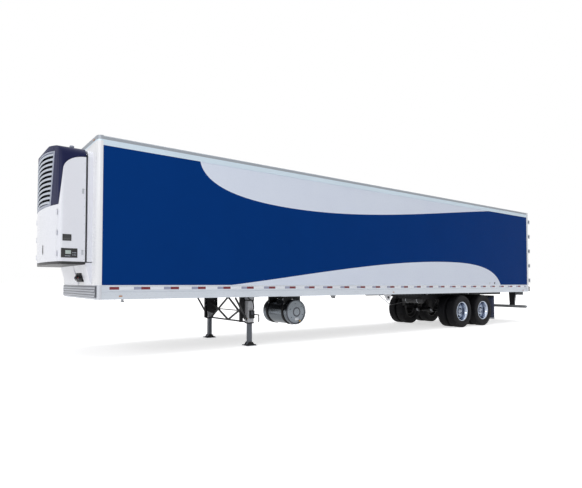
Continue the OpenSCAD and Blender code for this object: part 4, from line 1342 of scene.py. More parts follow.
@dataclass
class RearEnd:
    """Rear frame, doors, their hardware, lamps and the underride guard.

    Attributes:
        rod_ys: Distances of the lock rods from the centre line.
        rod_r: Radius of a lock rod.
        trim: Width of the metal edge round a door leaf.
        lamp_r: Radius of a tail lamp.
        hinges: Number of hinges on a leaf.
    """

    rod_ys: tuple[float, float] = (0.168, 0.708)
    rod_r: float = 0.013
    trim: float = 0.04
    lamp_r: float = 0.05
    hinges: int = 5

    def build(self) -> None:
        """Builds the rear."""
        for node, finish in {
            "rear_frame": Finishes.STAINLESS, "hinge_pins": Finishes.HINGE, "door_left": Finishes.WHITE,
            "door_right": Finishes.WHITE, "door_hardware_left": Finishes.ZINC,
            "door_hardware_right": Finishes.ZINC, "dock_bumpers": Finishes.RUBBER,
            "underride_guard": Finishes.GREY,
        }.items():
            dress(node, finish)
        low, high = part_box("door_left")
        self.out_x, self.in_x = low.x, high.x
        self.y0, self.y1, self.z0, self.z1 = low.y, high.y, low.z, high.z
        for side in Side:
            self._leaf(side)
            self._hardware(side)
            self._lamps(side)
            self._bumper(side)
        self._header_lamps()
        self._plate_holder()
        self._guard()
        self._door_seals()

    def _leaf(self, side: Side) -> None:
        """Metal edge trim, inner lining and seal of one leaf."""
        body = f"rear_door_{side.word}"
        s = side.value
        x, t = self.out_x, self.trim
        edge = Shape()
        for y0, y1, z0, z1 in (
            (self.y0, self.y1, self.z0, self.z0 + t), (self.y0, self.y1, self.z1 - t, self.z1),
            (self.y0, self.y0 + t, self.z0, self.z1), (self.y1 - t, self.y1, self.z0, self.z1),
        ):
            edge.box((x - 0.0025, s * y0, z0), (x + 0.01, s * y1, z1), 0.001)
        install(edge.object(f"door_edge_{side.word}", Finishes.RAIL), body, "white_panel")

        seal = Shape()
        xi = self.in_x
        for y0, y1, z0, z1 in (
            (self.y0 + 0.03, self.y1 - 0.09, self.z0 + 0.045, self.z0 + 0.065),
            (self.y0 + 0.03, self.y1 - 0.09, self.z1 - 0.065, self.z1 - 0.045),
            (self.y0 + 0.01, self.y0 + 0.03, self.z0 + 0.045, self.z1 - 0.045),
            (self.y1 - 0.11, self.y1 - 0.09, self.z0 + 0.045, self.z1 - 0.045),
        ):
            seal.box((xi - 0.004, s * y0, z0), (xi + 0.004, s * y1, z1), 0.002)
        install(seal.object(f"door_seal_{side.word}", Finishes.SEAL), body, "rubber_black")

        rib = Shape().box((xi - 0.002, s * (self.y0 + 0.06), self.z0 + 0.12),
                          (xi + 0.004, s * (self.y1 - 0.14), self.z0 + 0.16), 0.003)
        ribs = rib.object(f"door_lining_{side.word}", Finishes.LINING)
        Repeat.along(ribs, Finishes.LINING, 20, (0, 0, 0.12))
        install(ribs, body, "white_panel")

    def _hardware(self, side: Side) -> None:
        """Hinge bolts, rod bearings and cams, the handle's grip and its catch."""
        body = f"rear_door_{side.word}"
        s = side.value
        x = self.out_x
        rod_x = x - 0.016 - self.rod_r
        bolts = Shape()
        strap_x = x - 0.01
        for k in range(self.hinges):
            z = self.z0 + 0.2 + k * (self.z1 - self.z0 - 0.4) / (self.hinges - 1)
            for lift in (-0.024, 0.024):
                for y in (0.04, 0.14, 0.26, 0.38):
                    bolts.rod((strap_x + 0.001, s * (self.y1 - y), z + lift),
                              (strap_x - 0.006, s * (self.y1 - y), z + lift), 0.009, 12, 0.007)
        install(bolts.object(f"hinge_bolts_{side.word}", Finishes.STEEL), body, "machined_steel")

        cams = Shape()
        for y in self.rod_ys:
            for z, way in ((self.z0 - 0.035, -1), (self.z1 + 0.035, 1)):
                cams.rod((rod_x, s * y, z - 0.022), (rod_x, s * y, z + 0.022), 0.02, 20)
                cams.box((rod_x + 0.002, s * (y - 0.012), z - 0.012), (rod_x + 0.022, s * (y + 0.028), z + 0.012), 0.004)
            for z in (self.z0 + 0.5, 1.75, 2.7, self.z1 - 0.5):
                cams.box((x - 0.03, s * (y - 0.03), z - 0.018), (x + 0.001, s * (y + 0.03), z + 0.018), 0.005)
                cams.rod((rod_x, s * y, z - 0.024), (rod_x, s * y, z + 0.024), 0.0185, 20)
        install(cams.object(f"lock_cams_{side.word}", Finishes.STEEL), body, "machined_steel")

        y_end = self.rod_ys[0] + 0.316
        handle_x = x - 0.016 - 2 * self.rod_r
        grip = Shape().box((handle_x - 0.018, s * (y_end - 0.17), 1.897), (handle_x + 0.004, s * (y_end - 0.01), 1.931), 0.008)
        grip.box((x - 0.04, s * (y_end - 0.055), 1.875), (x + 0.001, s * (y_end - 0.035), 1.955), 0.004)
        install(grip.object(f"door_handle_grip_{side.word}", Finishes.RUBBER), body, "machined_steel")

    def _lamps(self, side: Side) -> None:
        """Two round red lamps, a clear one and red tape low on the door leaf."""
        s = side.value
        back = REAR_FACE
        z = (RAIL_Z + self.z0) / 2
        for word, y, finish in (("outer", 0.92, Finishes.RED_LENS), ("inner", 0.78, Finishes.RED_LENS),
                                ("reverse", 0.64, Finishes.CLEAR_LENS)):
            lens = Shape().lathe((back, s * y, z), Vector((-1, 0, 0)),
                                 ((0.0, 0.0), (self.lamp_r, 0.0), (self.lamp_r, 0.006), (self.lamp_r - 0.006, 0.014),
                                  (self.lamp_r * 0.6, 0.02), (0.0, 0.022)), 40)
            install(lens.object(f"tail_lamp_{word}_{side.word}", finish), TRAILER, "rubber_black")
            ring = Shape().lathe((back, s * y, z), Vector((-1, 0, 0)),
                                 ((self.lamp_r, -0.002), (self.lamp_r + 0.012, -0.002), (self.lamp_r + 0.01, 0.009),
                                  (self.lamp_r, 0.011)), 40)
            install(ring.object(f"tail_lamp_ring_{word}_{side.word}", Finishes.RUBBER), TRAILER, "rubber_black")
        tape = Shape().box((self.out_x - FILM - 0.0025, s * (self.y0 + 0.12), self.z0 + 0.05),
                           (self.out_x, s * (self.y0 + 0.32), self.z0 + 0.1))
        made = tape.object(f"door_tape_{side.word}", Finishes.RED, smooth=0)
        Repeat.along(made, Finishes.RED, 3, (0, s * 0.36, 0))
        install(made, f"rear_door_{side.word}", "white_panel")

    def _bumper(self, side: Side) -> None:
        """Laminated face and bolts of a dock bumper."""
        low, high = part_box("dock_bumpers")
        s = side.value
        y0, y1 = HALF_W - 0.18, HALF_W - 0.02
        layers = Shape()
        for k in range(7):
            z = low.z + 0.01 + k * (high.z - low.z - 0.02) / 7
            layers.box((low.x + 0.0005, s * (y0 + 0.004), z), (low.x + 0.02, s * (y1 - 0.004), z + 0.02), 0.003)
        for y in (y0 + 0.035, y1 - 0.035):
            layers.rod((low.x + 0.01, s * y, (low.z + high.z) / 2), (low.x + 0.0002, s * y, (low.z + high.z) / 2), 0.014, 12)
        install(layers.object(f"bumper_layers_{side.word}", Finishes.RUBBER), TRAILER, "rubber_black")

    def _header_lamps(self) -> None:
        """Red clearance lamps and white corner tape on the header."""
        x = REAR_FACE
        z = WALL_TOP + 0.12
        for k, y in enumerate((-1.15, -0.16, 0.0, 0.16, 1.15)):
            lamp = Shape().box((x - 0.02, y - 0.05, z - 0.016), (x + 0.004, y + 0.05, z + 0.016), 0.01)
            install(lamp.object(f"rear_clearance_lamp_{k + 1}", Finishes.RED_LENS), TRAILER, "rubber_black")
        corner = Shape()
        for s in (-1, 1):
            corner.box((x - FILM, s * 0.9, z - 0.025), (x + 0.002, s * 1.06, z + 0.025))
        install(corner.object("header_tape", Finishes.PALE_TAPE, smooth=0), TRAILER, "stainless_frame")

    def _plate_holder(self) -> None:
        """Blank licence plate on its holder under a small lamp."""
        x = REAR_FACE
        z = (RAIL_Z + self.z0) / 2 - 0.005
        holder = Shape().box((x - 0.012, -0.17, z - 0.09), (x + 0.002, 0.17, z + 0.09), 0.006)
        holder.box((x - 0.04, -0.05, z + 0.08), (x + 0.002, 0.05, z + 0.1), 0.006)
        install(holder.object("plate_holder", Finishes.RUBBER), TRAILER, "rubber_black")
        plate = Shape().box((x - 0.0145, -0.152, z - 0.076), (x - 0.011, 0.152, z + 0.076), 0.001)
        install(plate.object("blank_licence_plate", Finishes.PALE_TAPE), TRAILER, "rubber_black")

    def _guard(self) -> None:
        """Tape, gussets, bolts and post flanges of the underride guard."""
        low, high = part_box("underride_guard")
        bar_z = low.z
        for word, y0, length, finish in (("red", -1.15, 0.2, Finishes.RED), ("pale", -0.95, 0.2, Finishes.PALE_TAPE)):
            block = Shape().box((low.x - FILM, y0, bar_z + 0.025), (low.x + 0.001, y0 + length, bar_z + 0.075))
            made = block.object(f"guard_tape_{word}", finish, smooth=0)
            Repeat.along(made, finish, 6, (0, 0.4, 0))
            install(made, TRAILER, "galvanised")
        gussets = Shape()
        for s in (-1, 1):
            for y in (0.63, 0.8):
                gussets.prism([(low.x + 0.012, bar_z + 0.1), (low.x + 0.09, bar_z + 0.1), (low.x + 0.05, bar_z + 0.22)],
                              Axis.Y, s * y - 0.004, s * y + 0.004)
            for y in (0.87, 0.93, 1.02, 1.08):
                gussets.rod((low.x + 0.012, s * y, RAIL_Z - 0.06), (low.x + 0.002, s * y, RAIL_Z - 0.06), 0.012, 12)
        install(gussets.object("guard_gussets", Finishes.CHASSIS), TRAILER, "galvanised")
        posts = Shape()
        for s in (-1, 1):
            posts.prism([(s * 0.6, RAIL_Z), (s * 0.862, RAIL_Z), (s * 0.796, bar_z + 0.1), (s * 0.634, bar_z + 0.1)],
                        Axis.X, low.x + 0.008, low.x + 0.013)
            posts.prism([(s * 0.6, RAIL_Z), (s * 0.862, RAIL_Z), (s * 0.796, bar_z + 0.1), (s * 0.634, bar_z + 0.1)],
                        Axis.X, low.x + 0.087, low.x + 0.092)
        install(posts.object("guard_post_flanges", Finishes.DARK), TRAILER, "galvanised")

    def _door_seals(self) -> None:
        """Black strip down the middle between the leaves, on the left leaf."""
        strip = Shape().box((self.out_x + 0.012, 0.002, self.z0), (self.in_x - 0.012, self.y0 + 0.002, self.z1), 0.001)
        install(strip.object("door_middle_seal", Finishes.SEAL), "rear_door_left", "rubber_black")


@dataclass
class LoadSpace:
    """What shows inside the body with the doors open: floor ribs, wall lining and the front bulkhead.

    Attributes:
        rib_pitch: Distance between floor ribs.
        rib_h: Height of a floor rib.
        rail_h: Height of the scuff plate along each wall.
    """

    rib_pitch: float = 0.063
    rib_h: float = 0.004
    rail_h: float = 0.3

    def build(self) -> None:
        """Builds the lining."""
        low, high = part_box("floor_deck")
        wall = high.y
        x0, x1 = low.x + 0.01, high.x - 0.01
        rib = Shape().box((x0, -wall + 0.03, high.z - 0.001), (x1, -wall + 0.06, high.z + self.rib_h), 0.001)
        ribs = rib.object("floor_ribs", Finishes.FLOOR)
        Repeat.along(ribs, Finishes.FLOOR, int((2 * wall - 0.06) / self.rib_pitch), (0, self.rib_pitch, 0))
        install(ribs, TRAILER, "floor")
        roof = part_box("roof_panel")[0].z
        for side in Side:
            s = side.value
            scuff = Shape().box((x0, s * (wall - 0.003), high.z), (x1, s * wall, high.z + self.rail_h), 0.001)
            install(scuff.object(f"scuff_plate_{side.word}", Finishes.RAIL), TRAILER, "aluminium_rail")
            lining = Shape().box((x0, s * (wall - 0.0015), high.z + self.rail_h), (x1, s * wall, roof - 0.002))
            install(lining.object(f"wall_lining_{side.word}", Finishes.LINING), TRAILER, "white_panel")
            groove = Shape().box((x0 + 0.3, s * (wall - 0.005), high.z + self.rail_h + 0.02),
                                 (x0 + 0.33, s * (wall - 0.001), roof - 0.02), 0.001)
            grooves = groove.object(f"lining_joints_{side.word}", Finishes.LINING)
            Repeat.along(grooves, Finishes.LINING, 12, (1.25, 0, 0))
            install(grooves, TRAILER, "white_panel")
        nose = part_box("nose_wall")[0].x
        bulkhead = Shape().box((nose - 0.004, -wall + 0.01, high.z + 0.12), (nose + 0.001, wall - 0.01, roof - 0.3), 0.001)
        for k in range(9):
            y = -1.0 + k * 0.25
            bulkhead.box((nose - 0.03, y - 0.02, high.z + 0.15), (nose - 0.003, y + 0.02, roof - 0.35), 0.006)
        install(bulkhead.object("inner_bulkhead", Finishes.LINING), TRAILER, "white_panel")


@dataclass
class LandingGear:
    """Plates, bolts, feet and the crank of the landing gear.

    Attributes:
        wing_z: Height of the foot of the bracket plates.
        bolt_r: Radius of a bolt's head.
    """

    wing_z: float = 0.56
    bolt_r: float = 0.011

    def build(self) -> None:
        """Builds the landing gear's looks."""
        for node, finish in {"landing_housings": Finishes.PALE_LEG, "landing_legs": Finishes.LEG,
                             "landing_braces": Finishes.CHASSIS, "landing_crank": Finishes.DARK}.items():
            dress(node, finish)
        low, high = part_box("landing_housings")
        self.x0, self.x1, self.z0 = low.x, high.x, low.z
        self.y1 = high.y
        self.y0 = high.y - (high.x - low.x)
        for side in Side:
            self._bracket(side)
            self._foot(side)
            self._collar(side)
        self._crank()

    def _bracket(self, side: Side) -> None:
        """Dark ribbed plate on the inner face of a leg, bolted up to the cross members; its dark colour is partly the
        bracket's own paint and partly painted shade, seen on the far leg under the trailer.
        """
        s = side.value
        y_in, y_out = s * (self.y0 - 0.01), s * self.y0
        middle = (self.x0 + self.x1) / 2
        outline = [(middle + 0.2, RAIL_Z), (middle + 0.2, self.wing_z - 0.03), (middle + 0.13, self.wing_z - 0.03),
                   (middle + 0.12, self.wing_z + 0.14), (middle + 0.03, self.wing_z + 0.1), (middle - 0.06, self.wing_z + 0.07),
                   (middle - 0.15, self.wing_z + 0.12), (middle - 0.19, RAIL_Z)]
        shape = Shape().prism(outline, Axis.Y, *sorted((y_in, y_out)))
        for x in (middle + 0.2, middle + 0.145, middle - 0.155):
            foot = self.wing_z - 0.03 if x > middle else self.wing_z + 0.14
            shape.box((x - 0.012, s * (self.y0 - 0.05), foot), (x, s * (self.y0 - 0.008), RAIL_Z), 0.002)
        shape.box((middle - 0.2, s * (self.y0 - 0.09), RAIL_Z - 0.014), (middle + 0.22, s * (self.y1 + 0.02), RAIL_Z - 0.002), 0.002)
        # Dark finish: partly the bracket's own paint, partly painted shade for the far leg under the trailer.
        install(shape.object(f"leg_bracket_{side.word}", Finishes.DARK), TRAILER, "underframe_steel")
        bolts = Shape()
        for x in (middle - 0.1, middle + 0.16):
            for z in (RAIL_Z - 0.06, RAIL_Z - 0.16, RAIL_Z - 0.26):
                bolts.rod((x, s * (self.y0 - 0.009), z), (x, s * (self.y0 - 0.022), z), self.bolt_r, 6)
        install(bolts.object(f"leg_bolts_{side.word}", Finishes.ZINC), TRAILER, "underframe_steel")

    def _collar(self, side: Side) -> None:
        """Dark collars at the foot and near the head of the outer tube, and a grease fitting."""
        s = side.value
        pad = 0.004
        shape = Shape().box((self.x0 - pad, s * (self.y0 - pad), self.z0), (self.x1 + pad, s * (self.y1 + pad), self.z0 + 0.03), 0.003)
        shape.box((self.x0 - pad, s * (self.y0 - pad), RAIL_Z - 0.1), (self.x1 + pad, s * (self.y1 + pad), RAIL_Z - 0.07), 0.003)
        install(shape.object(f"leg_collar_{side.word}", Finishes.DARK), TRAILER, "underframe_steel")
        nipple = Shape().lathe((self.x1, s * (self.y1 - 0.03), self.z0 + 0.12), Vector((1, 0, 0)),
                               ((0.0, 0.0), (0.006, 0.0), (0.006, 0.008), (0.003, 0.01), (0.004, 0.016), (0.0, 0.018)), 12)
        install(nipple.object(f"leg_grease_fitting_{side.word}", Finishes.BRASS), TRAILER, "galvanised")

    def _foot(self, side: Side) -> None:
        """Ribs, axle and turned-up edge of a foot."""
        s = side.value
        low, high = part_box("landing_legs")
        middle_x = (self.x0 + self.x1) / 2
        middle_y = s * (self.y0 + self.y1) / 2
        half = (high.x - low.x) / 2
        shape = Shape()
        for y in (-0.062, 0.062):
            shape.prism([(middle_x - half + 0.02, 0.013), (middle_x + half - 0.02, 0.013),
                         (middle_x + 0.05, 0.085), (middle_x - 0.05, 0.085)], Axis.Y,
                        middle_y + y - 0.005, middle_y + y + 0.005)
        shape.rod((middle_x, middle_y - 0.078, 0.06), (middle_x, middle_y + 0.078, 0.06), 0.013, 16)
        shape.box((middle_x - half + 0.001, middle_y - 0.1, 0.012), (middle_x - half + 0.01, middle_y + 0.1, 0.026), 0.002)
        shape.box((middle_x + half - 0.01, middle_y - 0.1, 0.012), (middle_x + half - 0.001, middle_y + 0.1, 0.026), 0.002)
        install(shape.object(f"leg_foot_{side.word}", Finishes.DARK), TRAILER, "underframe_steel")

    def _crank(self) -> None:
        """Gear cover, curved carrier, cross shaft and the crank's grip."""
        low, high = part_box("landing_crank")
        x = low.x + 0.02
        z = low.z + 0.16
        middle = (self.x0 + self.x1) / 2
        gear = Shape().lathe((middle, self.y1 + 0.058, z + 0.04), Vector((0, 1, 0)),
                             ((0.0, 0.0), (0.05, 0.0), (0.05, 0.01), (0.03, 0.018), (0.0, 0.018)), 32)
        for k in range(6):
            a = math.radians(60 * k)
            gear.rod((middle + 0.04 * math.cos(a), self.y1 + 0.06, z + 0.04 + 0.04 * math.sin(a)),
                     (middle + 0.04 * math.cos(a), self.y1 + 0.073, z + 0.04 + 0.04 * math.sin(a)), 0.006, 6)
        install(gear.object("gear_cover", Finishes.STEEL_DARK), TRAILER, "galvanised")
        hook = Shape().tube([(middle + 0.13, self.y1 + 0.06, RAIL_Z - 0.01), (middle + 0.1, self.y1 + 0.075, RAIL_Z - 0.05),
                             (middle + 0.03, self.y1 + 0.085, RAIL_Z - 0.09), (middle - 0.01, self.y1 + 0.085, RAIL_Z - 0.17),
                             (middle - 0.015, self.y1 + 0.085, RAIL_Z - 0.26), (middle + 0.005, self.y1 + 0.075, RAIL_Z - 0.33),
                             (x + 0.02, self.y1 + 0.06, z + 0.01)], 0.013, 12)
        install(hook.object("crank_carrier", Finishes.DARK), TRAILER, "galvanised")
        shaft = Shape().rod((middle - 0.02, -self.y0, z + 0.06), (middle - 0.02, self.y0, z + 0.06), 0.011, 16)
        install(shaft.object("cross_shaft", Finishes.CHASSIS), TRAILER, "underframe_steel")
        end_y = high.y - 0.012
        grip = Shape().lathe((x - 0.001, end_y, z - 0.155), Vector((0, 0, 1)),
                             ((0.0, 0.0), (0.0125, 0.0), (0.0135, 0.01), (0.0135, 0.09), (0.012, 0.1), (0.0, 0.1)), 16)
        install(grip.object("crank_grip", Finishes.RUBBER), TRAILER, "galvanised")


@dataclass
class FuelTank:
    """The polished tank with its bands, cap, fittings and hangers.

    Attributes:
        cap_r: Radius of the filler cap.
        band_w: Width of a rolled band.
    """

    cap_r: float = 0.045
    band_w: float = 0.03

    def build(self) -> None:
        """Builds the tank."""
        low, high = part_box("fuel_tank")
        r = (high.z - low.z) / 2
        x, z = (low.x + high.x) / 2, (low.z + high.z) / 2
        y0, length = low.y, high.y - low.y
        dome = ((0.0, 0.0), (0.3 * r, 0.002), (0.6 * r, 0.009), (0.8 * r, 0.019), (0.9 * r, 0.03), (0.93 * r, 0.022),
                (0.955 * r, 0.016), (0.985 * r, 0.022), (r, 0.034), (r, 0.05), (0.985 * r, 0.054), (0.985 * r, 0.3))
        profile = [*dome, *[(a, length - b) for a, b in reversed(dome)]]
        tank = Shape().lathe((x, y0, z), Vector((0, 1, 0)), profile, 96)
        install(tank.object("tank_shell", Finishes.TANK), TRAILER, "polished_tank", "fuel_tank")

        neck = Shape().lathe((x + 0.12, y0 + length - 0.33, z + 0.94 * r), Vector((0.4, 0, 1)).normalized(),
                             ((0.0, -0.03), (0.035, -0.03), (0.035, 0.02), (self.cap_r, 0.022), (self.cap_r, 0.04),
                              (self.cap_r - 0.006, 0.046), (0.0, 0.048)), 32)
        install(neck.object("tank_cap", Finishes.ZINC), TRAILER, "polished_tank")
        fittings = Shape().box((x - 0.04, y0 + 0.1, z + 0.93 * r), (x + 0.04, y0 + 0.18, z + r + 0.012), 0.006)
        fittings.tube([(x, y0 + 0.14, z + r), (x + 0.01, y0 + 0.14, z + r + 0.04), (x + 0.06, y0 + 0.1, z + r + 0.07),
                       (x + 0.3, y0 + 0.02, RAIL_Z + 0.02)], 0.008, 10)
        fittings.rod((x - 0.1, y0 + length - 0.01, z - 0.72 * r), (x - 0.1, y0 + length - 0.001, z - 0.72 * r), 0.02, 20)
        install(fittings.object("tank_fittings", Finishes.BRASS), TRAILER, "polished_tank")
        plate = Shape().box((x - 0.06, y0 + length - 0.012, z - 0.2), (x + 0.06, y0 + length - 0.003, z - 0.14), 0.001)
        install(plate.object("tank_blank_plate", Finishes.ZINC), TRAILER, "polished_tank")
        end = y0 + length
        rings = Shape().lathe((x, end - 0.036, z), Vector((0, 1, 0)), (
            (0.93 * r, 0.012), (0.955 * r, 0.008), (0.985 * r, 0.008), (r - 0.0005, 0.0), (r + 0.0005, -0.004),
            (0.99 * r, 0.014), (0.955 * r, 0.022), (0.92 * r, 0.024)), 96)
        rings.lathe((x, end - 0.012, z), Vector((0, 1, 0)), (
            (0.075, 0.0), (0.12, 0.0), (0.12, 0.006), (0.112, 0.0105), (0.085, 0.0105), (0.075, 0.006)), 48)
        for k in range(6):
            a = math.radians(60 * k + 20)
            rings.box((x + 0.2 * math.cos(a) - 0.01, end - 0.02, z + 0.2 * math.sin(a) - 0.01),
                      (x + 0.2 * math.cos(a) + 0.01, end - 0.003, z + 0.2 * math.sin(a) + 0.01), 0.004)
        install(rings.object("tank_end_rings", Finishes.STEEL_DARK), TRAILER, "polished_tank")
        self._hangers(x, z, r)

    def _hangers(self, x: float, z: float, r: float) -> None:
        """Strap bolts with their plates and nuts, and top flanges on the hangers."""
        dress("tank_bracket", Finishes.DARK)
        low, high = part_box("tank_bracket")
        straps = Shape()
        for y in (low.y + 0.03, high.y - 0.03):
            for way in (-1, 1):
                bx = x + way * (r - 0.055)
                straps.rod((bx, y, z + 0.03), (bx, y, z + 0.2), 0.008, 12)
                straps.box((bx - 0.016, y - 0.026, z + 0.1), (bx + 0.016, y + 0.026, z + 0.112), 0.003)
                straps.rod((bx, y, z + 0.112), (bx, y, z + 0.126), 0.014, 6)
            straps.box((x - r + 0.02, y - 0.055, high.z - 0.016), (x + r - 0.02, y + 0.055, high.z - 0.001), 0.002)
        install(straps.object("tank_strap_bolts", Finishes.ZINC), TRAILER, "underframe_steel")


@dataclass
class Bogie:
    """Slider, suspension, brakes, air lines and mud flaps round the axles.

    Attributes:
        hole_pitch: Distance between the slider's locking holes.
        chamber_r: Radius of a brake chamber.
    """

    hole_pitch: float = 0.152
    chamber_r: float = 0.078

    def build(self) -> None:
        """Builds the bogie's looks."""
        for node, finish in {
            "slide_rails": Finishes.DARK, "bogie_frame": Finishes.DARK, "suspension_arms": Finishes.DARK,
            "axles": Finishes.DARK, "mud_flaps": Finishes.FLAP,
        }.items():
            dress(node, finish)
        self.axle_x = [sum(v.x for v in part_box(f"tyres_{p}_left")) / 2 for p in ("front", "rear")]
        self.axle_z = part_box("axles")[0].z + (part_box("axles")[1].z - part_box("axles")[0].z) / 2
        self.rail_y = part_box("slide_rails")[1].y - 0.045
        self._slider()
        self._springs()
        self._brakes()
        self._dampers()
        self._tank()
        self._lines()
        for side in Side:
            self._flap(side)
            self._turn_lamp(side)
        self._stay()

    def _slider(self) -> None:
        """Locking holes along both slider rails, the four lock pins and their pull bar."""
        low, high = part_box("slide_rails")
        z = (low.z + high.z) / 2
        for side in Side:
            s = side.value
            for word, y in (("outer", high.y), ("inner", high.y - 0.09)):
                way = 1 if word == "outer" else -1
                ring = Shape().lathe((low.x + 0.12, s * (y - way * 0.002), z), Vector((0, s * way, 0)),
                                     ((0.0, 0.0), (0.022, 0.0), (0.022, 0.004), (0.017, 0.004), (0.016, 0.0025), (0.0, 0.0025)), 16)
                made = ring.object(f"slider_holes_{word}_{side.word}", Finishes.STEEL_DARK)
                Repeat.along(made, Finishes.STEEL_DARK, int((high.x - low.x - 0.2) / self.hole_pitch), (self.hole_pitch, 0, 0))
                install(made, TRAILER, "underframe_steel")
        pins = Shape()
        frame_low, frame_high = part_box("bogie_frame")
        for x in (frame_low.x + 0.5, frame_high.x - 0.25):
            for s in (-1, 1):
                pins.rod((x, s * (self.rail_y - 0.09), z), (x, s * (self.rail_y + 0.085), z), 0.02, 20)
                pins.box((x - 0.035, s * (self.rail_y - 0.14), z - 0.09), (x + 0.035, s * (self.rail_y - 0.09), z + 0.03), 0.004)
        pins.rod((frame_low.x + 0.5, 0, z - 0.05), (frame_high.x - 0.25, 0, z - 0.05), 0.012, 12)
        install(pins.object("lock_pins", Finishes.ZINC), TRAILER, "underframe_steel")

    def _springs(self) -> None:
        """Bellows of the four air springs between their plates."""
        low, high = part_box("air_springs")
        height = high.z - low.z
        r = 0.11
        shape, plates = Shape(), Shape()
        for x in self.axle_x:
            for s in (-1, 1):
                centre = (x - 0.25, s * self.rail_y, low.z)
                profile = [(0.0, 0.0), (0.07, 0.0), (0.072, 0.03)]
                for k in range(13):
                    a = math.pi * k / 12
                    profile.append((0.08 + (r - 0.08) * math.sin(a) ** 0.6, 0.035 + k / 12 * (height - 0.075) / 2))
                for k in range(13):
                    a = math.pi * k / 12
                    profile.append((0.08 + (r - 0.08) * math.sin(a) ** 0.6,
                                    0.037 + (height - 0.075) / 2 + k / 12 * (height - 0.075) / 2))
                profile += [(0.075, height - 0.01), (0.0, height - 0.01)]
                shape.lathe(centre, Vector((0, 0, 1)), profile, 40)
                plates.lathe((centre[0], centre[1], high.z - 0.012), Vector((0, 0, 1)),
                             ((0.0, 0.0), (0.1, 0.0), (0.1, 0.011), (0.0, 0.011)), 40)
        install(shape.object("air_spring_bellows", Finishes.RUBBER), TRAILER, "rubber_black", "air_springs")
        install(plates.object("air_spring_plates", Finishes.ZINC), TRAILER, "underframe_steel")

    def _brakes(self) -> None:
        """Brake chambers with their clamp rings, push rods and slack adjusters."""
        shape, rings = Shape(), Shape()
        for x in self.axle_x:
            for s in (-1, 1):
                start = Vector((x + 0.15, s * 0.185, self.axle_z + 0.02))
                shape.lathe(start, Vector((0, s, 0)),
                            ((0.0, 0.0), (0.05, 0.0), (0.07, 0.012), (self.chamber_r, 0.03), (self.chamber_r, 0.06),
                             (self.chamber_r - 0.008, 0.08), (self.chamber_r, 0.1), (self.chamber_r, 0.13),
                             (0.06, 0.15), (0.0, 0.15)), 40)
                for h in (0.07, 0.115):
                    rings.lathe(start + Vector((0, s * h, 0)), Vector((0, s, 0)),
                                ((self.chamber_r - 0.004, -0.006), (self.chamber_r + 0.004, -0.006),
                                 (self.chamber_r + 0.004, 0.006), (self.chamber_r - 0.004, 0.006)), 40)
                shape.rod(start + Vector((0, s * 0.15, 0)), start + Vector((0, s * 0.3, 0)), 0.009, 12)
                shape.box((x + 0.12, s * 0.478, self.axle_z - 0.06), (x + 0.17, s * 0.502, self.axle_z + 0.05), 0.006)
                shape.rod((x + 0.1, s * 0.3, self.axle_z - 0.045), (x + 0.1, s * 0.62, self.axle_z - 0.045), 0.018, 16)
        install(shape.object("brake_chambers", Finishes.CHASSIS), TRAILER, "underframe_steel")
        install(rings.object("brake_clamp_rings", Finishes.ZINC), TRAILER, "underframe_steel")

    def _dampers(self) -> None:
        """Shock absorbers, axle seats, pivot bolts and gussets on the hangers."""
        dampers, seats = Shape(), Shape()
        hanger_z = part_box("bogie_frame")[0].z
        for x in self.axle_x:
            for s in (-1, 1):
                y = s * (self.rail_y - 0.1)
                foot, head = Vector((x - 0.1, y, self.axle_z + 0.03)), Vector((x + 0.16, y, self.axle_z + 0.4))
                mid = foot.lerp(head, 0.5)
                dampers.rod(foot, mid, 0.026, 20)
                dampers.rod(mid, head, 0.033, 20)
                seats.box((x - 0.09, s * (self.rail_y - 0.055), self.axle_z + 0.12),
                          (x + 0.09, s * (self.rail_y + 0.055), self.axle_z + 0.14), 0.006)
                for dx in (-0.068, 0.068):
                    path = [(x + dx, s * self.rail_y - 0.05, self.axle_z + 0.16)]
                    path += [(x + dx * math.cos(a), s * self.rail_y - 0.05, self.axle_z - 0.068 * math.sin(a))
                             for a in (0.0,)]
                    seats.rod(path[0], (x + dx, s * self.rail_y - 0.05, self.axle_z - 0.02), 0.009, 10)
                    seats.rod((x + dx, s * self.rail_y + 0.05, self.axle_z + 0.16),
                              (x + dx, s * self.rail_y + 0.05, self.axle_z - 0.02), 0.009, 10)
                pivot = x + 0.535
                seats.rod((pivot, s * (self.rail_y - 0.075), self.axle_z + 0.155),
                          (pivot, s * (self.rail_y + 0.075), self.axle_z + 0.155), 0.026, 6)
                for way in (-1, 1):
                    yy = s * self.rail_y + way * 0.058
                    seats.prism([(pivot - 0.09, hanger_z + 0.26), (pivot + 0.1, hanger_z + 0.26),
                                 (pivot + 0.045, hanger_z + 0.02), (pivot - 0.035, hanger_z + 0.02)],
                                Axis.Y, yy - 0.003, yy + 0.003)
        install(dampers.object("shock_absorbers", Finishes.CHASSIS), TRAILER, "underframe_steel")
        install(seats.object("axle_seats", Finishes.DARK), TRAILER, "underframe_steel")

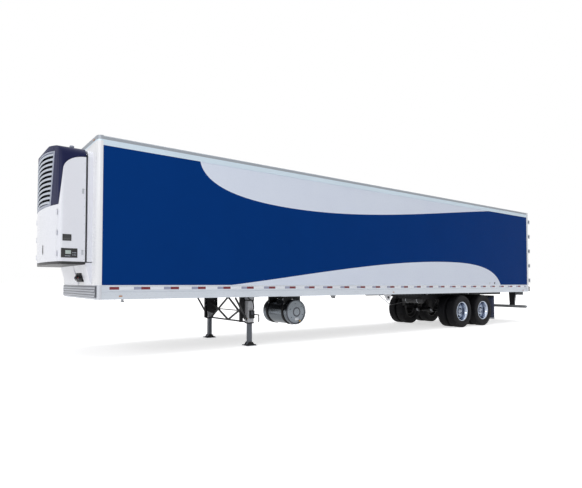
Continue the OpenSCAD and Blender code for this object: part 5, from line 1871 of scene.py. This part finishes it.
    def _tank(self) -> None:
        """Air tank with domed ends, on two straps."""
        low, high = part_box("air_tank")
        r = (high.z - low.z) / 2
        x, z, length = (low.x + high.x) / 2, (low.z + high.z) / 2, high.y - low.y
        dome = [(r * math.sin(math.radians(a)), 0.07 * (1 - math.cos(math.radians(a)))) for a in range(0, 91, 10)]
        profile = dome + [(a, length - b) for a, b in reversed(dome)]
        tank = Shape().lathe((x, low.y, z), Vector((0, 1, 0)), profile, 48)
        install(tank.object("air_tank_shell", Finishes.CHASSIS), TRAILER, "air_tank_paint", "air_tank")
        straps = Shape()
        for y in (-0.22, 0.22):
            path = [(x + (r + 0.003) * math.cos(a), y, z + (r + 0.003) * math.sin(a))
                    for a in [math.radians(-200 + 11 * k) for k in range(20)]]
            straps.tube([(path[0][0], y, high.z + 0.02), *path, (path[-1][0], y, high.z + 0.02)], 0.007, 8)
        straps.rod((x, low.y + 0.2, low.z - 0.001 + 0.004), (x, low.y + 0.2, low.z + 0.02), 0.012, 12)
        install(straps.object("air_tank_straps", Finishes.ZINC), TRAILER, "air_tank_paint")

    def _lines(self) -> None:
        """Air lines and the wiring loom that run along the frame to the brakes."""
        nose = place_along(0.4)
        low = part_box("bogie_frame")[0]
        loom = Shape()
        for k, y in enumerate((0.06, 0.085, 0.11)):
            z = RAIL_Z + 0.012 - 0.002 * k
            loom.tube([(nose, y, z), (place_along(4.0), y, z), (place_along(9.0), y, z),
                       (self.axle_x[0] + 0.9, y, z)], 0.0085, 8)
        install(loom.object("air_lines", Finishes.RUBBER), TRAILER, "underframe_steel")
        drops = Shape()
        for x in self.axle_x:
            for s in (-1, 1):
                start = Vector((x + 0.42, s * 0.1, RAIL_Z - 0.02))
                end = Vector((x + 0.2, s * 0.25, self.axle_z + 0.09))
                path = []
                for k in range(13):
                    t = k / 12
                    p = start.lerp(end, t)
                    p.z -= 0.1 * math.sin(math.pi * t)
                    path.append(p)
                drops.tube(path, 0.0075, 8)
        install(drops.object("brake_hoses", Finishes.RUBBER), TRAILER, "underframe_steel")
        valve = Shape().box((self.axle_x[0] + 0.75, -0.09, low.z + 0.2), (self.axle_x[0] + 0.87, 0.03, low.z + 0.32), 0.012)
        valve.rod((self.axle_x[0] + 0.81, -0.03, low.z + 0.17), (self.axle_x[0] + 0.81, -0.03, low.z + 0.36), 0.03, 20)
        install(valve.object("brake_valve", Finishes.STEEL), TRAILER, "underframe_steel")

    def _flap(self, side: Side) -> None:
        """Ribs, pale foot strip, hanger and bolts of a mud flap."""
        s = side.value
        low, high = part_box("mud_flaps")
        y0, y1 = 0.65, high.y - 0.01
        for word, x in (("front", high.x), ("rear", low.x)):
            way = 1 if word == "front" else -1
            rib = Shape().box((x - 0.001 * way, s * y0, low.z + 0.07), (x + 0.0035 * way, s * (y0 + 0.02), high.z - 0.1), 0.002)
            ribs = rib.object(f"flap_ribs_{word}_{side.word}", Finishes.FLAP_RIB)
            Repeat.along(ribs, Finishes.FLAP_RIB, int((y1 - y0) / 0.042), (0, s * 0.042, 0))
            install(ribs, TRAILER, "flap_rubber")
            strip = Shape().box((x - 0.001 * way, s * y0, low.z + 0.008), (x + 0.004 * way, s * y1, low.z + 0.045), 0.001)
            install(strip.object(f"flap_strip_{word}_{side.word}", Finishes.PALE_TAPE), TRAILER, "flap_rubber")
        hanger = Shape().box((low.x - 0.01, s * (y0 - 0.01), high.z - 0.05), (high.x + 0.012, s * y1, high.z - 0.002), 0.004)
        for k in range(6):
            y = s * (y0 + 0.05 + k * (y1 - y0 - 0.1) / 5)
            hanger.rod((high.x + 0.02, y, high.z - 0.026), (low.x - 0.018, y, high.z - 0.026), 0.009, 12)
        install(hanger.object(f"flap_hanger_{side.word}", Finishes.STEEL_DARK), TRAILER, "underframe_steel")

    def _stay(self) -> None:
        """Thin stay from the left rail down to the bogie."""
        knee = (place_along(8.42), 1.0, 0.8)
        stay = Shape().rod((place_along(7.86), 1.0, RAIL_Z), knee, 0.01, 12)
        install(stay.object("bogie_stay", Finishes.ZINC), TRAILER, "underframe_steel")
        link = Shape().rod(knee, (place_along(10.5), self.rail_y + 0.03, 0.96), 0.011, 12)
        link.box((knee[0] - 0.03, 0.985, 0.785), (knee[0] + 0.03, 1.015, 0.815), 0.006)
        install(link.object("bogie_stay_link", Finishes.DARK), TRAILER, "underframe_steel")

    def _turn_lamp(self, side: Side) -> None:
        """Pale bracket under the rail with a dark round lamp."""
        s = side.value
        x = place_along(8.19)
        bracket = Shape().prism([(x - 0.14, RAIL_Z), (x + 0.2, RAIL_Z), (x + 0.06, 0.93), (x - 0.07, 0.93)],
                                Axis.Y, *sorted((s * 1.1, s * 1.108)))
        install(bracket.object(f"turn_lamp_bracket_{side.word}", Finishes.WHITE), TRAILER, "galvanised")
        lens = Shape().lathe((x, s * 1.107, 1.02), Vector((0, s, 0)),
                             ((0.0, 0.0), (0.036, 0.0), (0.036, 0.012), (0.028, 0.02), (0.0, 0.022)), 32)
        install(lens.object(f"turn_lamp_{side.word}", Finishes.BLACK), TRAILER, "rubber_black")


@dataclass
class Coupling:
    """Coupler plate and kingpin under the nose.

    Attributes:
        bolt_r: Radius of a bolt's head.
    """

    bolt_r: float = 0.013

    def build(self) -> None:
        """Builds the coupler's looks."""
        dress("coupler_plate", Finishes.PLATE_STEEL)
        dress("kingpin", Finishes.STEEL)
        low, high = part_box("coupler_plate")
        bolt = Shape().rod((low.x + 0.06, 0, low.z + 0.001), (low.x + 0.06, 0, low.z - 0.0005), self.bolt_r, 16)
        for word, y in (("left", high.y - 0.06), ("right", low.y + 0.06)):
            bolt = Shape().rod((low.x + 0.06, y, low.z + 0.003), (low.x + 0.06, y, low.z - 0.004), self.bolt_r, 12, 0.01)
            made = bolt.object(f"coupler_bolts_{word}", Finishes.ZINC)
            Repeat.along(made, Finishes.ZINC, 12, ((high.x - low.x - 0.12) / 11, 0, 0))
            install(made, TRAILER, "underframe_steel")
        edges = Shape()
        for s in (-1, 1):
            edges.prism([(low.x, low.z), (low.x, high.z), (low.x - 0.05, high.z)], Axis.Y, *sorted((s * 0.1, s * high.y)))
        install(edges.object("coupler_lead_in", Finishes.PLATE_STEEL), TRAILER, "underframe_steel")


@dataclass
class Tyre:
    """Section and tread of one tyre.

    Attributes:
        radius: Outer radius.
        width: Width across the sidewalls.
        bead_r: Radius that sits on the rim.
        lugs: Number of shoulder lugs on each side.
    """

    radius: float = 0.52
    width: float = 0.275
    bead_r: float = 0.2875
    lugs: int = 56

    def half_section(self) -> list[tuple[float, float]]:
        """Points from the bead to the crown, as radius and distance from the middle."""
        r, w = self.radius, self.width / 2
        side = [(self.bead_r, 0.1), (self.bead_r + 0.012, 0.104), (0.322, 0.119), (0.33, 0.1245), (0.336, 0.1245),
                (0.34, 0.1225), (0.372, w - 0.0035), (0.4, w - 0.0005), (0.418, w), (0.424, w - 0.002),
                (0.43, w), (0.448, w - 0.002), (0.47, w - 0.006), (0.488, w - 0.011), (0.498, w - 0.016)]
        grooves = []
        for outer, inner in ((0.078, 0.067), (0.03, 0.018)):
            grooves += [(r - 0.0025 * outer / 0.1, outer), (r - 0.013, outer - 0.002), (r - 0.013, inner + 0.002),
                        (r - 0.0025 * inner / 0.1, inner)]
        return side + [(r - 0.006, 0.112), (r - 0.0035, 0.105)] + grooves

    def add(self, shape: Shape, centre: Point) -> None:
        """Adds the tyre's turned body to a shape.

        Args:
            shape: The shape.
            centre: Middle of the tyre.
        """
        half = self.half_section()
        profile = half + [(r, -h) for r, h in reversed(half)]
        shape.lathe(centre, Vector((0, 1, 0)), profile, 96)


@dataclass
class WheelSet:
    """The four twin wheels, with tyres, discs, hubs and brake drums.

    Attributes:
        twin: Distance between the two tyres' middles.
        rim_r: Radius of the rim under the tyre.
        holes: Number of hand holes, and of wheel nuts.
        hole_r: Radius of a hand hole.
        nut_ring: Radius of the circle of nuts.
        dish: Inner and outer edge of the sloping part of the disc, as radius and height.
    """

    twin: float = 0.332
    rim_r: float = 0.286
    holes: int = 10
    hole_r: float = 0.035
    nut_ring: float = 0.143
    dish: tuple = ((0.183, 0.03), (0.243, 0.122))

    def build(self) -> None:
        """Builds each pair of wheels."""
        for place in ("front", "rear"):
            for side in Side:
                self._pair(place, side)

    def _pair(self, place: str, side: Side) -> None:
        """Builds one pair.

        Args:
            place: front or rear.
            side: The side of the trailer.
        """
        word = f"{place}_{side.word}"
        body = f"wheel_pair_{word}"
        low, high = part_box(f"tyres_{word}")
        centre = (low + high) / 2
        out = Vector((0, side.value, 0))
        tyres = Shape()
        for way in (-1, 1):
            Tyre().add(tyres, centre + out * (way * self.twin / 2))
        rubber = tyres.object(f"tyre_bodies_{word}", Finishes.TYRE, 30)
        install(join(f"tyre_twins_{word}", rubber, *self._lugs(word, centre)), body, "tyre", f"tyres_{word}")

        outer = self._outer_wheel(centre, out)
        install(outer.object(f"outer_wheel_{word}", Finishes.POLISHED, 40), body, "polished_wheel", f"wheels_{word}")
        inner = self._inner_wheel(centre, out)
        install(inner.object(f"inner_wheel_{word}", Finishes.WHEEL_DARK, 40), body, "polished_wheel")
        self._nuts(word, body, centre, side)
        cap = Shape().lathe(centre, out, (
            (0.0, 0.208), (0.03, 0.208), (0.06, 0.204), (0.076, 0.196), (0.08, 0.186), (0.08, 0.165), (0.093, 0.162),
            (0.095, 0.15), (0.1, 0.06), (0.1, 0.01), (0.0, 0.01)), 48)
        install(cap.object(f"hub_cap_{word}", Finishes.HUB), body, "polished_wheel")

    def _lugs(self, word: str, centre: Vector) -> list[bpy.types.Object]:
        """Shoulder lugs round both edges of both tyres."""
        tyre = Tyre()
        made = []
        for k, way in enumerate((-1, 1)):
            lug = Shape()
            for edge in (-1, 1):
                y = edge * 0.1145
                lug.box((-0.0085, y - 0.012, tyre.radius - 0.0255), (0.0085, y + 0.012, tyre.radius - 0.0045), 0.003)
            piece = lug.object(f"lugs_{word}_{k}", Finishes.TYRE)
            place = centre + Vector((0, way * self.twin / 2, 0))
            made.append(Repeat.around(piece, Finishes.TYRE, tyre.lugs, Axis.Y, place))
        return made

    def _outer_wheel(self, centre: Vector, out: Vector) -> Shape:
        """Deep polished wheel: rim, sloping disc with hand holes, and bolting face."""
        (r0, h0), (r1, h1) = self.dish
        edge = self.twin / 2
        shape = Shape().lathe(centre, out, (
            (0.2855, edge - 0.1), (0.2855, edge + 0.101), (0.294, edge + 0.1045), (0.3085, edge + 0.107), (0.3095, edge + 0.1135),
            (0.306, edge + 0.1184), (0.295, edge + 0.1184), (0.286, edge + 0.112), (0.2775, edge + 0.1), (0.2735, edge + 0.083),
            (0.264, edge + 0.06), (0.256, edge + 0.035), (0.253, 0.185), (0.2525, 0.16), (0.2515, h1 + 0.026),
            (r1 + 0.002, h1 + 0.012), (r1 - 0.003, h1 - 0.002), (0.252, h1 - 0.012), (0.262, h1 - 0.02), (0.272, edge - 0.1)), 96)
        shape.lathe(centre, out, ((0.098, 0.001), (r0 - 0.006, 0.001), (r0 + 0.006, h0 - 0.006), (r0 - 0.002, h0 + 0.006),
                                  (r0 - 0.012, 0.0185), (0.16, 0.014), (0.098, 0.014)), 96)
        shape.holed_cone(centre, out, self.dish, 0.012, self.holes, self.hole_r)
        return shape

    def _inner_wheel(self, centre: Vector, out: Vector) -> Shape:
        """Plain inner wheel with its disc facing the other way, and the brake drum."""
        (r0, h0), (r1, h1) = self.dish
        edge = self.twin / 2
        shape = Shape().lathe(centre, -out, (
            (0.2855, edge - 0.1), (0.2855, edge + 0.101), (0.294, edge + 0.1045), (0.3085, edge + 0.107), (0.3095, edge + 0.1135),
            (0.306, edge + 0.1184), (0.286, edge + 0.112), (0.2735, edge + 0.083), (0.256, edge + 0.035), (0.2525, 0.16),
            (0.2515, h1 + 0.026), (r1 - 0.003, h1 - 0.002), (0.262, h1 - 0.02), (0.272, edge - 0.1)), 72)
        shape.lathe(centre, -out, ((0.098, 0.0), (r0 - 0.006, 0.0), (r0 + 0.006, h0 - 0.006), (r0 - 0.002, h0 + 0.006),
                                   (0.16, 0.013), (0.098, 0.013)), 72)
        shape.holed_cone(centre, -out, self.dish, 0.012, self.holes, self.hole_r)
        shape.lathe(centre, -out, (
            (0.1, 0.03), (0.165, 0.03), (0.198, 0.06), (0.203, 0.1), (0.2035, 0.12), (0.199, 0.125), (0.2, 0.15),
            (0.2045, 0.155), (0.2045, 0.2), (0.201, 0.21), (0.2045, 0.22), (0.2045, 0.23), (0.187, 0.23), (0.187, 0.09),
            (0.16, 0.05), (0.1, 0.05)), 72)
        return shape

    def _nuts(self, word: str, body: str, centre: Vector, side: Side) -> None:
        """Ring of wheel nuts with their studs and washers, and the hub cap's small bolts."""
        s = side.value
        nut = Shape().rod((0, s * 0.013, self.nut_ring), (0, s * 0.018, self.nut_ring), 0.019, 20)
        nut.rod((0, s * 0.018, self.nut_ring), (0, s * 0.042, self.nut_ring), 0.0165, 6, 0.0155)
        nut.rod((0, s * 0.042, self.nut_ring), (0, s * 0.054, self.nut_ring), 0.0095, 12)
        made = nut.object(f"wheel_nuts_{word}", Finishes.NUT)
        Repeat.around(made, Finishes.NUT, self.holes, Axis.Y, centre)
        install(made, body, "polished_wheel")
        bolt = Shape().rod((0, s * 0.16, 0.086), (0, s * 0.168, 0.086), 0.0055, 8)
        bolts = bolt.object(f"hub_bolts_{word}", Finishes.NUT)
        Repeat.around(bolts, Finishes.NUT, 6, Axis.Y, centre)
        install(bolts, body, "polished_wheel")


# ---------------------------------------------------------------- stage


@dataclass
class Studio:
    """Floor, sky, lamps and camera.

    Attributes:
        eye: The camera's place; X is ahead of the nose wall.
        yaw: Viewing direction about Z, in degrees from +X.
        pitch: Upward tilt in degrees.
        roll: Roll in degrees.
        lens: Focal length in millimetres on a 36 mm sensor.
        shift: Sideways and upward lens shift, as shares of the width.
    """

    eye: Point = (2.367, 9.728, 1.431)
    yaw: float = 234.85
    pitch: float = 1.70
    roll: float = 0.142
    lens: float = 28.53
    shift: Point = (0.0545, 0.043)

    def build(self) -> None:
        """Builds the stage."""
        self._world()
        self._floor()
        self._lamps()
        self._camera()

    def _world(self) -> None:
        """Pale sky: white to the camera and in reflections, and a softer light on the object."""
        world = bpy.data.worlds.new("pale_sky")
        bpy.context.scene.world = world
        world.use_nodes = True
        nodes, link = world.node_tree.nodes, world.node_tree.links.new
        background = nodes["Background"]
        background.inputs["Color"].default_value = (1, 1, 1, 1)
        path = nodes.new("ShaderNodeLightPath")
        seen = nodes.new("ShaderNodeMath")
        seen.operation = "MAXIMUM"
        through = nodes.new("ShaderNodeMath")
        through.operation = "MAXIMUM"
        strength = nodes.new("ShaderNodeMapRange")
        strength.inputs["To Min"].default_value = 0.5
        strength.inputs["To Max"].default_value = 1.0
        link(path.outputs["Is Camera Ray"], seen.inputs[0])
        link(path.outputs["Is Glossy Ray"], seen.inputs[1])
        link(seen.outputs["Value"], through.inputs[0])
        link(path.outputs["Is Transmission Ray"], through.inputs[1])
        link(through.outputs["Value"], strength.inputs["Value"])
        link(strength.outputs["Result"], background.inputs["Strength"])

    def _floor(self) -> None:
        """Pale floor that keeps the object's shadow and meets the sky without a line."""
        mesh = bpy.data.meshes.new("floor")
        r = 400.0
        mesh.from_pydata([(-r, -r, 0), (r, -r, 0), (r, r, 0), (-r, r, 0)], [], [(0, 1, 2, 3)])
        floor = bpy.data.objects.new("floor", mesh)
        bpy.context.scene.collection.objects.link(floor)
        mat = bpy.data.materials.new("pale_floor")
        mat.use_nodes = True
        nodes, link = mat.node_tree.nodes, mat.node_tree.links.new
        shader = nodes["Principled BSDF"]
        shader.inputs["Base Color"].default_value = (0.82, 0.82, 0.83, 1)
        shader.inputs["Roughness"].default_value = 0.9
        shader.inputs["Specular IOR Level"].default_value = 0.1
        shader.inputs["Emission Color"].default_value = (1, 1, 1, 1)
        path = nodes.new("ShaderNodeLightPath")
        seen = nodes.new("ShaderNodeMath")
        seen.operation = "MAXIMUM"
        glow = nodes.new("ShaderNodeMath")
        glow.operation = "MULTIPLY"
        coord = nodes.new("ShaderNodeTexCoord")
        away = nodes.new("ShaderNodeVectorMath")
        away.operation = "LENGTH"
        bright = nodes.new("ShaderNodeMapRange")
        bright.inputs["From Min"].default_value = 10.0
        bright.inputs["From Max"].default_value = 36.0
        bright.inputs["To Min"].default_value = 0.62
        bright.inputs["To Max"].default_value = 1.1
        link(coord.outputs["Object"], away.inputs[0])
        link(away.outputs["Value"], bright.inputs["Value"])
        link(bright.outputs["Result"], glow.inputs[1])
        link(path.outputs["Is Camera Ray"], seen.inputs[0])
        link(path.outputs["Is Glossy Ray"], seen.inputs[1])
        link(seen.outputs["Value"], glow.inputs[0])
        link(glow.outputs["Value"], shader.inputs["Emission Strength"])
        mesh.materials.append(mat)

    def _lamps(self) -> None:
        """Large soft lamps: one above, one from ahead and to the left."""
        for name, place, aim, size, power in (
            ("overhead", (0, 0, 14), (0, 0, 0), (26, 12), 1500.0),
            ("front_key", (19, 7, 9), (6, 0, 2), (9, 9), 750.0),
        ):
            lamp = bpy.data.lights.new(name, "AREA")
            lamp.shape = "RECTANGLE"
            lamp.size, lamp.size_y = size
            lamp.energy = power
            made = bpy.data.objects.new(name, lamp)
            made.location = place
            direction = Vector(aim) - Vector(place)
            made.rotation_euler = direction.to_track_quat("-Z", "Y").to_euler()
            bpy.context.scene.collection.objects.link(made)

    def _camera(self) -> None:
        """Camera at the viewing angle of the front left corner."""
        camera = bpy.data.cameras.new("camera")
        camera.sensor_width = 36.0
        camera.lens = self.lens
        camera.shift_x, camera.shift_y = self.shift
        camera.clip_end = 1000.0
        made = bpy.data.objects.new("camera", camera)
        made.location = (NOSE_X + self.eye[0], self.eye[1], self.eye[2])
        yaw, pitch = math.radians(self.yaw), math.radians(self.pitch)
        ahead = Vector((math.cos(yaw) * math.cos(pitch), math.sin(yaw) * math.cos(pitch), math.sin(pitch)))
        right = Vector((math.sin(yaw), -math.cos(yaw), 0))
        up = right.cross(ahead)
        roll = math.radians(self.roll)
        x_axis = math.cos(roll) * right + math.sin(roll) * up
        y_axis = -math.sin(roll) * right + math.cos(roll) * up
        turn = Matrix((x_axis, y_axis, -ahead)).transposed()
        made.rotation_euler = turn.to_euler()
        bpy.context.scene.collection.objects.link(made)
        bpy.context.scene.camera = made


def main() -> None:
    """Builds the trailer's looks and its stage."""
    logging.basicConfig(level=logging.INFO, format="%(name)s: %(message)s")
    bpy.context.scene.view_settings.view_transform = "Standard"
    for part in (BodyShell(), RefrigerationUnit(), NoseFittings(), RearEnd(), LoadSpace(), Coupling(),
                 LandingGear(), FuelTank(), Bogie(), WheelSet(), Studio()):
        part.build()
        log.info("built %s", type(part).__name__)


if __name__ == "__main__":
    main()
